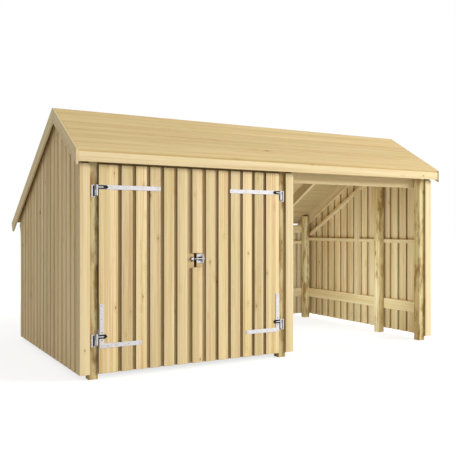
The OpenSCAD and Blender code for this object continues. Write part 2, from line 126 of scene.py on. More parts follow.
def srgb(red: int, green: int, blue: int) -> Color:
    """Turns display values from 0 to 255 into a linear colour.

    Args:
        red: red value as seen on a display.
        green: green value as seen on a display.
        blue: blue value as seen on a display.

    Returns:
        The colour as linear red, green and blue from 0 to 1.
    """
    parts = np.array((red, green, blue)) / 255.0
    linear = np.where(parts <= 0.04045, parts / 12.92, ((parts + 0.055) / 1.055) ** 2.4)
    return tuple(float(part) for part in linear)


def corners_of(node: str) -> tuple[Array, Array]:
    """Gives the lowest and the highest corner of the solid with this name, as arrays."""
    low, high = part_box(node)
    return np.array(low), np.array(high)


def softened(corners: Sequence[Sequence[float]], radius: float, steps: int = 4) -> Array:
    """Rounds an outline: each corner becomes a quadratic curve between points one radius away from it.

    Args:
        corners: the outline's corners in order.
        radius: distance from a corner at which its curve starts and ends.
        steps: number of points on each curve.

    Returns:
        The rounded outline, one row per point.
    """
    corner = np.asarray(corners, float)
    to_last = np.roll(corner, 1, 0) - corner
    to_next = np.roll(corner, -1, 0) - corner
    last_length = np.linalg.norm(to_last, axis=1, keepdims=True)
    next_length = np.linalg.norm(to_next, axis=1, keepdims=True)
    reach = np.minimum(radius, CORNER_SHARE * np.minimum(last_length, next_length))
    start = corner + to_last / last_length * reach
    end = corner + to_next / next_length * reach
    t = np.linspace(0.0, 1.0, steps)[None, :, None]
    curve = (1 - t) ** 2 * start[:, None] + 2 * t * (1 - t) * corner[:, None] + t**2 * end[:, None]
    return curve.reshape(-1, 2)


def spanned(low: Sequence[float], high: Sequence[float]) -> Outline:
    """Gives the corners of the rectangle between a lowest and a highest corner."""
    return [(low[0], low[1]), (high[0], low[1]), (high[0], high[1]), (low[0], high[1])]


def rectangle(width: float, depth: float) -> Outline:
    """Gives the corners of a rectangle that is centred on the origin."""
    return spanned((-width / 2, -depth / 2), (width / 2, depth / 2))


def painted_shade_steps(front: float, side: float, back: float, steps: int = 4) -> Array:
    """Gives a softened rectangle's painted shade per point, in even steps from the narrow sides to the two broad faces.
    """
    first, last = np.linspace(side, front, steps), np.linspace(side, back, steps)
    return np.concatenate((first, first[::-1], last, last[::-1]))


def turning(outline: Array) -> float:
    """Gives 1 for an outline that runs anticlockwise and -1 for one that runs clockwise."""
    ahead = np.roll(outline, -1, 0)
    return float(np.sign(np.sum(outline[:, 0] * ahead[:, 1] - outline[:, 1] * ahead[:, 0])))


def drawn_in(outline: Array, distance: float) -> Array:
    """Moves each point of an outline inward, along the mean of the normals of its two edges.

    Args:
        outline: the outline's points in order.
        distance: how far the points move.

    Returns:
        The smaller outline.
    """
    edge = np.roll(outline, -1, 0) - outline
    normal = np.stack((-edge[:, 1], edge[:, 0]), 1)
    normal /= np.maximum(np.linalg.norm(normal, axis=1, keepdims=True), TINY)
    mean = normal + np.roll(normal, 1, 0)
    mean /= np.maximum(np.linalg.norm(mean, axis=1, keepdims=True), TINY)
    return outline + mean * distance * turning(outline)


class Shape:
    """Closed forms collected as arrays, with the run of the grain, and turned into one mesh."""

    heart_aside = (-0.06, 0.06)
    heart_below = (0.02, 0.11)
    log_length = (0.0, 300.0)

    def __init__(self, seed: int) -> None:
        """Starts an empty shape with its own source of chance.

        Args:
            seed: number that the source starts from.
        """
        self.chance = np.random.default_rng(SEED + seed)
        self.points: list[Array] = []
        self.grain: list[Array] = []
        self.tone: list[Array] = []
        self.age: list[Array] = []
        self.loops: list[Array] = []
        self.totals: list[Array] = []
        self.count = 0

    def add(self, points: Array, faces: Sequence[Array], grain: Array, tone: Array, age: Array) -> None:
        """Adds points and the faces between them.

        Args:
            points: places, one row per point.
            faces: arrays of point numbers, each with one row per face.
            grain: place of each point in the timber that it was cut from.
            tone: lightness of each point's timber, from -1 to 1.
            age: painted shade on each point's timber, from 0 to 2.
        """
        for block in faces:
            self.loops.append((block + self.count).ravel())
            self.totals.append(np.full(len(block), block.shape[1]))
        self.points.append(points)
        self.grain.append(grain)
        self.tone.append(tone)
        self.age.append(age)
        self.count += len(points)

    def fibres(self, points: Array, origins: Array, axes: Sequence[Array]) -> tuple[Array, Array]:
        """Places each copy in a log of its own, beside the heart and at a chance height.

        Args:
            points: places of all copies, as copies by points by three.
            origins: origin of each copy.
            axes: directions across, through and along the timber.

        Returns:
            The grain places and the tones, flattened to one row per point.
        """
        copies, size = points.shape[:2]
        local = points - origins[:, None]
        across, through = local @ axes[0], local @ axes[1]
        along = points @ axes[2]
        limits = (self.heart_aside, self.heart_below, self.log_length)
        shift = np.stack([self.chance.uniform(*pair, copies) for pair in limits], 1)
        grain = np.stack((across, through, along), 2) + shift[:, None]
        tone = np.repeat(self.chance.uniform(-1.0, 1.0, copies), size)
        return grain.reshape(-1, 3), tone

    def prisms(self, outline: Array, origins: Array, axes: Sequence[Array], low: Array, high: Array,
               edge: float, fibres: Optional[Sequence[Array]] = None, age: Array = 0.0) -> None:
        """Carries an outline along an axis, once per origin, with a chamfer at both ends.

        A point is the origin plus the outline's two values along the first two axes plus its height along the third.

        Args:
            outline: the section's points in order.
            origins: one place per copy, as rows.
            axes: the section's two directions and the direction of the run.
            low: start of the run, for all, per copy, or per copy and outline point.
            high: end of the run, given in the same way.
            edge: size of the chamfers.
            fibres: directions across, through and along the timber, where the axes aren't these.
            age: painted shade on the timber, for all, per outline point, or per ring and outline point.
        """
        origins = np.atleast_2d(np.asarray(origins, float))
        copies, size = len(origins), len(outline)
        start = np.broadcast_to(self.per_point(low), (copies, size))
        end = np.broadcast_to(self.per_point(high), (copies, size))
        small = drawn_in(outline, edge)
        rings = np.stack((small, outline, outline, small))
        run = np.stack((start, start + edge, end - edge, end), 1)
        points = origins[:, None, None] + rings[None, :, :, :1] * axes[0] + rings[None, :, :, 1:] * axes[1]
        points = points + run[..., None] * axes[2]
        outward = turning(outline) * np.dot(np.cross(axes[0], axes[1]), axes[2]) > 0
        base = (np.arange(copies) * 4 * size)[:, None]
        here = np.arange(size)
        ahead = (here + 1) % size
        bands = [np.stack((r * size + here, r * size + ahead, (r + 1) * size + ahead, (r + 1) * size + here), 1)
                 for r in range(3)]
        sides = np.concatenate(bands)
        foot = here[::-1]
        head = 3 * size + here
        if not outward:
            sides, foot, head = sides[:, ::-1], foot[::-1], head[::-1]
        faces = [(base[:, None] + sides[None]).reshape(-1, 4), base + foot[None], base + head[None]]
        points = points.reshape(copies, -1, 3)
        grain, tone = self.fibres(points, origins, fibres or axes)
        painted_shades = np.tile(np.broadcast_to(age, (4, size)).ravel(), copies)
        self.add(points.reshape(-1, 3), faces, grain, tone, painted_shades)

    @staticmethod
    def per_point(value: Array) -> Array:
        """Gives a run's limit a last axis for the outline's points."""
        value = np.asarray(value, float)
        return value if value.ndim == 2 else value.reshape(-1, 1)

    def turned(self, profile: Sequence[Sequence[float]], origins: Array, axes: Sequence[Array],
               segments: int = HEAD_SEGMENTS, ring: bool = False) -> None:
        """Turns a profile about an axis, once per origin: radius and height become a circle at that height.

        Args:
            profile: radius and height of each point.
            origins: one place per copy, as rows.
            axes: two directions across the axis and the direction of the axis.
            segments: number of points on a circle.
            ring: whether the profile closes on itself; otherwise its ends get flat caps.
        """
        profile = np.asarray(profile, float)
        origins = np.atleast_2d(np.asarray(origins, float))
        copies, rows = len(origins), len(profile)
        angle = np.linspace(0.0, 2 * math.pi, segments, endpoint=False)
        circle = np.cos(angle)[:, None] * axes[0] + np.sin(angle)[:, None] * axes[1]
        grid = profile[:, 0, None, None] * circle[None] + profile[:, 1, None, None] * axes[2]
        points = (origins[:, None, None] + grid[None]).reshape(copies, -1, 3)
        row = np.arange(rows if ring else rows - 1)[:, None]
        here = np.arange(segments)[None]
        up = (row + 1) % rows
        ahead = (here + 1) % segments
        row, up = row * segments, up * segments
        quads = np.stack((row + here, row + ahead, up + ahead, up + here), 2).reshape(-1, 4)
        mirrored = np.dot(np.cross(axes[0], axes[1]), axes[2]) < 0
        if mirrored:
            quads = quads[:, ::-1]
        base = (np.arange(copies) * rows * segments)[:, None]
        faces = [(base[:, None] + quads[None]).reshape(-1, 4)]
        if not ring:
            foot, head = here[0, ::-1], (rows - 1) * segments + here[0]
            if mirrored:
                foot, head = foot[::-1], head[::-1]
            faces += [base + foot[None], base + head[None]]
        grain, tone = self.fibres(points, origins, axes)
        self.add(points.reshape(-1, 3), faces, grain, tone, np.zeros(len(tone)))

    def build(self, name: str, node: str, material: bpy.types.Material, stands: bool = True) -> None:
        """Makes the mesh object that stands for a solid or lies on it, on the solid's body.

        Args:
            name: name of the new object.
            node: name of the solid.
            material: finish of the object.
            stands: whether the object takes the solid's place.
        """
        mesh = bpy.data.meshes.new(name)
        points = np.concatenate(self.points)
        loops = np.concatenate(self.loops)
        totals = np.concatenate(self.totals)
        mesh.vertices.add(len(points))
        mesh.vertices.foreach_set("co", points.ravel())
        mesh.loops.add(len(loops))
        mesh.loops.foreach_set("vertex_index", loops)
        mesh.polygons.add(len(totals))
        mesh.polygons.foreach_set("loop_start", np.concatenate(((0,), np.cumsum(totals)[:-1])))
        mesh.polygons.foreach_set("loop_total", totals)
        mesh.update(calc_edges=True)
        mesh.validate()
        grain = mesh.attributes.new("grain", "FLOAT_VECTOR", "POINT")
        grain.data.foreach_set("vector", np.concatenate(self.grain).ravel())
        # The age attribute carries painted shade
        for key, values in (("tone", self.tone), ("age", self.age)):
            mesh.attributes.new(key, "FLOAT", "POINT").data.foreach_set("value", np.concatenate(values))
        mesh.shade_smooth()
        mesh.set_sharp_from_angle(angle=SHARP_ANGLE)
        mesh.materials.append(material)
        piece = bpy.data.objects.new(name, mesh)
        bpy.context.scene.collection.objects.link(piece)
        body = next(key for key, nodes in frame["record"]["behaviour"]["bodies"].items() if node in nodes)
        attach(piece, body)
        if stands:
            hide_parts(node)
        LOG.info("%s on %s: %d points", name, node, len(points))


def upright_board(node: str, material: bpy.types.Material, age: Array, seed: int) -> None:
    """Builds a single upright board that fills its solid's box.

    Args:
        node: name of the solid that the board stands for.
        material: finish of the board.
        age: painted shade on the board's faces, as weathering gives it.
        seed: number for the board's grain.
    """
    low, high = corners_of(node)
    shape = Shape(seed)
    outline = softened(rectangle(high[0] - low[0], high[1] - low[1]), BOARD_ROUND)
    shape.prisms(outline, (low + high) / 2 * (1, 1, 0), (X, Y, Z), low[2], high[2], BOARD_EDGE, age=age)
    shape.build(node + "_timber", node, material)


class Graph:
    """The nodes of a material or a world, added one by one and linked by their sockets."""

    def __init__(self, owner: bpy.types.ID) -> None:
        """Takes over the nodes.

        Args:
            owner: the material or the world that has them.
        """
        owner.use_nodes = True
        self.owner = owner
        self.nodes = owner.node_tree.nodes
        self.links = owner.node_tree.links

    def node(self, kind: str, inputs: Optional[dict] = None, **settings: object) -> bpy.types.Node:
        """Adds a node, with values or links for its inputs.

        Args:
            kind: type of the node.
            inputs: values or output sockets by input name or number.
            settings: properties of the node.

        Returns:
            The new node.
        """
        made = self.nodes.new(kind)
        for key, value in settings.items():
            setattr(made, key, value)
        for key, value in (inputs or {}).items():
            self.feed(made.inputs[key], value)
        return made

    def feed(self, socket: Socket, value: object) -> None:
        """Links an output to a socket, or sets the socket's value.

        Args:
            socket: input that takes the value.
            value: an output socket, or the value itself.
        """
        if isinstance(value, Socket):
            self.links.new(value, socket)
        else:
            socket.default_value = value

    def shade(self, inputs: dict[str, object]) -> None:
        """Sets or links inputs of the material's own shader."""
        for key, value in inputs.items():
            self.feed(self.nodes["Principled BSDF"].inputs[key], value)

    def attribute(self, name: str, output: str = "Fac") -> Socket:
        """Reads an attribute of the mesh."""
        return self.node("ShaderNodeAttribute", attribute_name=name).outputs[output]

    def math(self, operation: str, first: object, second: object, clamp: bool = False) -> Socket:
        """Adds an operation on two numbers and gives its result."""
        return self.node("ShaderNodeMath", {0: first, 1: second}, operation=operation, use_clamp=clamp).outputs[0]

    def times(self, first: object, second: object) -> Socket:
        """Multiplies two numbers and gives the result."""
        return self.math("MULTIPLY", first, second)

    def plus(self, first: object, second: object, clamp: bool = False) -> Socket:
        """Adds two numbers and gives the result."""
        return self.math("ADD", first, second, clamp)

    def scaled(self, vector: Socket, factors: Triple) -> Socket:
        """Multiplies a vector by one factor per axis and gives the result."""
        return self.node("ShaderNodeVectorMath", {0: vector, 1: factors}, operation="MULTIPLY").outputs[0]

    def length(self, vector: Socket) -> Socket:
        """Gives a vector's length."""
        return self.node("ShaderNodeVectorMath", {0: vector}, operation="LENGTH").outputs["Value"]

    def noise(self, vector: Socket, cells: Triple, detail: float = 2.0, roughness: float = 0.5) -> Socket:
        """Adds a cloud pattern with so many cells per metre along each axis and gives its value."""
        values = {"Vector": self.scaled(vector, cells), "Scale": 1.0, "Detail": detail, "Roughness": roughness}
        return self.node("ShaderNodeTexNoise", values).outputs["Fac"]

    def cells(self, vector: Socket, scale: float) -> tuple[Socket, Socket]:
        """Adds a cell pattern.

        Args:
            vector: place in the pattern.
            scale: number of cells along a unit of length.

        Returns:
            The distance to the cell's middle and the cell's own chance value.
        """
        made = self.node("ShaderNodeTexVoronoi", {"Vector": vector, "Scale": scale}).outputs
        chance = self.node("ShaderNodeSeparateColor", {"Color": made["Color"]}).outputs[0]
        return made["Distance"], chance

    def between(self, value: Socket, low: float, high: float, new_low: float = 0.0, new_high: float = 1.0) -> Socket:
        """Maps a range of values to another one by a smooth step, held at its ends.

        Args:
            value: value to map.
            low: value that becomes new_low.
            high: value that becomes new_high.
            new_low: start of the new range.
            new_high: end of the new range.

        Returns:
            The mapped value.
        """
        made = self.node("ShaderNodeMapRange", {0: value, 1: low, 2: high, 3: new_low, 4: new_high})
        made.interpolation_type = "SMOOTHSTEP"
        return made.outputs[0]

    def mixed(self, share: object, first: object, second: object, blend: str = "MIX") -> Socket:
        """Mixes two colours.

        Args:
            share: share of the second colour, from 0 to 1.
            first: colour or output socket.
            second: colour or output socket.
            blend: way of mixing.

        Returns:
            The mixed colour.
        """
        made = self.node("ShaderNodeMix", data_type="RGBA", blend_type=blend)
        self.feed(made.inputs[0], share)
        self.feed(made.inputs[6], first if isinstance(first, Socket) else (*first, 1.0))
        self.feed(made.inputs[7], second if isinstance(second, Socket) else (*second, 1.0))
        return made.outputs[2]

    def bump(self, strength: float, distance: float, height: Socket) -> Socket:
        """Turns a height into a bent normal and gives it."""
        values = {"Strength": strength, "Distance": distance, "Height": height}
        return self.node("ShaderNodeBump", values).outputs[0]

    def by_ray(self, unseen: Socket, seen: Socket, output: str) -> None:
        """Gives one shader to rays that show a surface to the eye, directly or in gloss, and another to the rest.

        Args:
            unseen: shader for the rays that only carry light.
            seen: shader for the rays that show a surface to the eye.
            output: name of the node that takes the mix.
        """
        path = self.node("ShaderNodeLightPath").outputs
        share = self.plus(path["Is Camera Ray"], path["Is Glossy Ray"])
        share = self.plus(share, path["Is Transmission Ray"], clamp=True)
        mix = self.node("ShaderNodeMixShader", {0: share, 1: unseen, 2: seen})
        self.feed(self.nodes[output].inputs[0], mix.outputs[0])


@dataclass(frozen=True)
class TimberFinish:
    """Look of one kind of treated pine."""

    name: str
    pale: Color
    warm: Color
    green: Color
    knot: Color = srgb(128, 92, 50)
    stain: Color = srgb(160, 122, 60)
    # Colour that painted shade in recesses, in gaps and on shaded sides multiplies the timber by
    painted_shading: Color = (0.30, 0.235, 0.13)
    tone_spread: float = 0.09
    green_share: float = 0.35
    streak: float = 1.1
    lines: float = 0.25
    ring: float = 0.28
    swirl: float = 0.35
    fibre: tuple[float, float] = (0.12, 0.38)
    knots: float = 0.25
    knot_cells: Triple = (6.0, 2.0, 2.6)
    knot_reach: float = 0.09
    knot_share: float = 0.7
    mottle: float = 0.0
    rough: float = 0.62
    gloss: float = 0.3
    bend_cells: Triple = (5.0, 5.0, 0.8)
    streak_cells: Triple = (24.0, 24.0, 0.45)
    line_cells: Triple = (70.0, 70.0, 0.5)
    fibre_cells: Triple = (260.0, 260.0, 6.0)
    green_cells: Triple = (9.0, 9.0, 0.9)
    blotch_cells: Triple = (12.0, 12.0, 3.2)
    ring_pitch: float = 0.0075
    ring_bend: float = 0.035
    ring_swirl: float = 0.016
    late_wood: tuple[float, float] = (-0.2, 1.0)
    swirl_reach: tuple[float, float] = (3.5, 0.9)
    green_span: tuple[float, float] = (0.42, 0.66)
    blotch_span: tuple[float, float] = (0.45, 0.65)
    rough_spread: tuple[float, float] = (0.08, 0.1)
    relief: tuple[float, float] = (0.25, 0.0012)
    ring_relief: float = 0.4

    def knot_marks(self, graph: Graph, grain: Socket) -> tuple[Socket, Socket]:
        """Chooses some cells of a pattern: each has a knot in its middle and a swirl of the grain round it.

        Args:
            graph: nodes that take the pattern.
            grain: place in the timber.

        Returns:
            The knots and the swirls, each from 0 to 1.
        """
        near, chance = graph.cells(graph.scaled(grain, self.knot_cells), 1.0)
        chosen = graph.math("LESS_THAN", chance, self.knots)
        knot = graph.between(near, self.knot_reach, self.knot_reach / 2)
        far, close = self.swirl_reach
        swirl = graph.between(near, self.knot_reach * far, self.knot_reach * close)
        return graph.times(knot, chosen), graph.times(swirl, chosen)

    def rings(self, graph: Graph, grain: Socket, swirl: Socket) -> Socket:
        """Adds late wood as a sine of the distance from the heart, which bends and swirls along the grain.

        Args:
            graph: nodes that take the pattern.
            grain: place in the timber.
            swirl: swirl of the grain round the knots.

        Returns:
            The late wood's share, from 0 to 1.
        """
        radius = graph.length(graph.scaled(grain, (1.0, 1.0, 0.0)))
        radius = graph.plus(radius, graph.times(graph.noise(grain, self.bend_cells), self.ring_bend))
        radius = graph.plus(radius, graph.times(swirl, self.ring_swirl))
        wave = graph.math("SINE", graph.times(radius, 2 * math.pi / self.ring_pitch), 0.0)
        return graph.between(wave, *self.late_wood)

    def material(self) -> bpy.types.Material:
        """Builds growth rings round a bent heart, long streaks, fine fibres and knots, all along the grain.

        The age attribute is painted shade: a value up to 1 takes the colour towards its product with the aged colour,
        and one up to 2 does so again.

        Returns:
            The finished material.
        """
        graph = Graph(bpy.data.materials.new(self.name))
        grain, age = graph.attribute("grain", "Vector"), graph.attribute("age")
        knot, swirl = self.knot_marks(graph, grain)
        ring = self.rings(graph, grain, swirl)
        streak = graph.noise(grain, self.streak_cells, *STREAKY)
        line = graph.noise(grain, self.line_cells)
        fibre = graph.noise(grain, self.fibre_cells, *FINE)
        green = graph.noise(grain, self.green_cells)
        blotch = graph.noise(grain, self.blotch_cells, *FINE)
        warmth = graph.times(graph.math("SUBTRACT", streak, 0.5), self.streak * 2)
        warmth = graph.plus(warmth, graph.between(line, *CLOUD_CORE, -self.lines, self.lines))
        warmth = graph.plus(warmth, graph.times(ring, self.ring))
        warmth = graph.plus(warmth, graph.times(swirl, self.swirl))
        warmth = graph.plus(warmth, graph.between(fibre, *CLOUD_CORE, *self.fibre), clamp=True)
        color = graph.mixed(warmth, self.pale, self.warm)
        color = graph.mixed(graph.times(graph.between(green, *self.green_span), self.green_share), color, self.green)
        color = graph.mixed(graph.times(graph.between(blotch, *self.blotch_span), self.mottle), color, self.stain)
        color = graph.mixed(graph.times(knot, self.knot_share), color, self.knot)
        lightness = graph.plus(graph.times(graph.attribute("tone"), self.tone_spread), 1.0)
        shade = graph.node("ShaderNodeCombineColor", {channel: lightness for channel in range(3)})
        color = graph.mixed(1.0, color, shade.outputs[0], "MULTIPLY")
        # Painted shade from the age attribute, once up to 1 and again up to 2
        color = graph.mixed(age, color, self.painted_shading, "MULTIPLY")
        color = graph.mixed(graph.math("SUBTRACT", age, 1.0, clamp=True), color, self.painted_shading, "MULTIPLY")
        less, more = self.rough_spread
        rough = graph.between(fibre, *CLOUD_SPAN, self.rough - less, self.rough + more)
        normal = graph.bump(*self.relief, graph.plus(graph.times(ring, self.ring_relief), fibre))
        graph.shade({"Base Color": color, "Roughness": rough, "Normal": normal, "Specular IOR Level": self.gloss})
        return graph.owner


@dataclass(frozen=True)
class ZincFinish:
    """Look of bright galvanised steel, with faint crystals of zinc."""

    name: str
    bright: Color
    dull: Color
    rough: float = 0.34
    metallic: float = 1.0
    gloss: float = 0.5
    crystals: float = 140.0
    cloud_cells: Triple = (30.0, 30.0, 30.0)
    scratch_cells: Triple = (60.0, 900.0, 900.0)
    rough_spread: tuple[float, float] = (0.06, 0.1)
    relief: tuple[float, float] = (0.12, 0.0004)

    def material(self) -> bpy.types.Material:
        """Builds patches of two greys from cells, with fine scratches in the gloss.

        Returns:
            The finished material.
        """
        graph = Graph(bpy.data.materials.new(self.name))
        place = graph.node("ShaderNodeTexCoord").outputs["Object"]
        crystal = graph.cells(place, self.crystals)[1]
        cloud = graph.noise(place, self.cloud_cells, 3.0)
        scratch = graph.noise(place, self.scratch_cells)
        share = graph.plus(graph.times(crystal, 0.5), graph.times(cloud, 0.5))
        less, more = self.rough_spread
        graph.shade({"Base Color": graph.mixed(share, self.bright, self.dull),
                     "Roughness": graph.between(scratch, *CLOUD_CORE, self.rough - less, self.rough + more),
                     "Normal": graph.bump(*self.relief, cloud),
                     "Metallic": self.metallic, "Specular IOR Level": self.gloss})
        return graph.owner


class Finish(Enum):
    """The finishes that the shed has."""

    POST = TimberFinish("post_pine", srgb(238, 220, 168), srgb(204, 168, 104), srgb(212, 196, 130),
                        tone_spread=0.03, green_share=0.5, streak=1.8, knots=0.6, knot_cells=(14.0, 14.0, 5.0),
                        knot_reach=0.2, mottle=0.9)
    WALL = TimberFinish("wall_pine", srgb(238, 213, 166), srgb(208, 172, 116), srgb(216, 202, 140),
                        streak=1.4, knots=0.7, knot_cells=(10.0, 10.0, 4.0), knot_reach=0.085)
    TRIM = TimberFinish("trim_pine", srgb(236, 214, 168), srgb(220, 190, 138), srgb(222, 208, 152),
                        tone_spread=0.04, streak=1.5, knots=0.7, knot_cells=(10.0, 10.0, 4.0), knot_reach=0.085)
    ROOF = TimberFinish("roof_pine", srgb(230, 204, 150), srgb(208, 176, 118), srgb(210, 194, 134),
                        tone_spread=0.05)
    RAIL = TimberFinish("rail_pine", srgb(240, 217, 170), srgb(216, 184, 128), srgb(218, 203, 144))
    ZINC = ZincFinish("zinc_steel", (0.69, 0.68, 0.695), (0.52, 0.515, 0.53), 0.74)
    # Near-black sheets as painted shade in forks, slots, screw pits, open holes and behind the bolt's rod and keeper
    DARK = ZincFinish("painted_shade_black", (0.020, 0.019, 0.018), (0.008, 0.008, 0.008), 0.6, 0.0, 0.15)


Finishes = dict[Finish, bpy.types.Material]


@dataclass
class RoofLines:
    """The two slopes as heights over the depth, read from the roof's solids."""

    eave_y: float = field(init=False)
    ridge_y: float = field(init=False)
    back_y: float = field(init=False)
    ridge_z: float = field(init=False)

    def __post_init__(self) -> None:
        """Reads the eaves and the ridge."""
        front, back = corners_of("left_front_barge"), corners_of("left_back_barge")
        self.eave_y, self.ridge_y = front[0][1], front[1][1]
        self.back_y, self.ridge_z = back[1][1], back[1][2]

    def front(self, y: Array, drop: float = 0.0) -> Array:
        """Gives the front slope's height, less a drop measured square to the slope."""
        return self.ridge_z - (self.ridge_y - y) * math.tan(FRONT_PITCH) - drop / math.cos(FRONT_PITCH)

    def back(self, y: Array, drop: float = 0.0) -> Array:
        """Gives the back slope's height, less a drop measured square to the slope."""
        return self.ridge_z - (y - self.ridge_y) * math.tan(BACK_PITCH) - drop / math.cos(BACK_PITCH)

    def under(self, y: Array) -> Array:
        """Gives the height under the roof boards."""
        return np.minimum(self.front(y, DECK_DEPTH), self.back(y, DECK_DEPTH))


@dataclass
class Walls:
    """Board-on-board cladding of the gables, the partition and the back."""

    lines: RoofLines
    finishes: Finishes
    closing_reach: float = 0.085
    closed: tuple[str, ...] = ("left_gable_boards", "right_gable_boards")
    # Painted shade in the board-on-board recesses: on the outer boards' sides and inner faces, and on the faces and
    # sides of the boards that close the gaps
    outer_shade: float = 0.5
    inside_shade: float = 0.35
    recess_share: float = 0.35
    closing_shade: float = 0.3
    closing_share: float = 0.8

    def starts(self, length: float) -> tuple[Array, Array]:
        """Evens out the pitch so that both ends are full boards.

        Args:
            length: length of the panel.

        Returns:
            The starts of the outer boards and of the boards that close the gaps behind them.
        """
        count = round((length - BOARD_WIDTH) / BOARD_PITCH) + 1
        step = (length - BOARD_WIDTH) / (count - 1)
        outer = np.arange(count) * step
        return outer, outer[:-1] + step / 2

    def panel(self, node: str, run: Array, inward: Array, painted_shading: float, seed: int) -> None:
        """Builds the two layers of boards of one wall; on a wall that runs into the depth, the roof cuts the heads.

        Args:
            node: name of the solid that the boards stand for.
            run: direction along the wall.
            inward: direction from the outer face into the wall.
            painted_shading: painted shade on the boards' outer sides, from 0 to 1.
            seed: number for the boards' grain.
        """
        low, high = corners_of(node)
        shape = Shape(seed)
        outline = softened(rectangle(BOARD_WIDTH, BOARD_DEPTH), BOARD_ROUND)
        length = float((high - low) @ run)
        closing = self.closing_reach if node in self.closed else 0.0
        outer, inner = self.starts(length - closing)
        if closing:
            inner = np.append(inner, length - BOARD_WIDTH)
        axis, sign = np.abs(inward), float(inward.sum())
        face = float((low if sign > 0 else high) @ axis)
        # Painted shade in the recesses between the outer boards
        painted_shades = (painted_shade_steps(0.0, painted_shading, self.inside_shade),
                painted_shade_steps(self.recess_share * painted_shading, self.closing_shade + self.closing_share * painted_shading, 0.0))
        for layer, starts in enumerate((outer, inner)):
            middle = starts + BOARD_WIDTH / 2 + low @ run
            origins = middle[:, None] * run + (face + (layer + 0.5) * BOARD_DEPTH * sign) * axis
            heads = high[2]
            if run[1]:
                heads = self.lines.under(middle[:, None] + outline[None, :, 0]) - BOARD_HEAD_GAP
            shape.prisms(outline, origins, (run, inward, Z), low[2], heads, BOARD_EDGE, age=painted_shades[layer])
        shape.build(node + "_cladding", node, self.finishes[Finish.WALL])

    def build(self) -> None:
        """Builds all four walls."""
        painted_shading = self.outer_shade
        rows = (("left_gable_boards", Y, X, 0.0), ("right_gable_boards", Y, -X, painted_shading),
                ("partition_boards", Y, -X, painted_shading), ("back_boards", X, -Y, painted_shading))
        for seed, row in enumerate(rows, 1):
            self.panel(*row, seed)


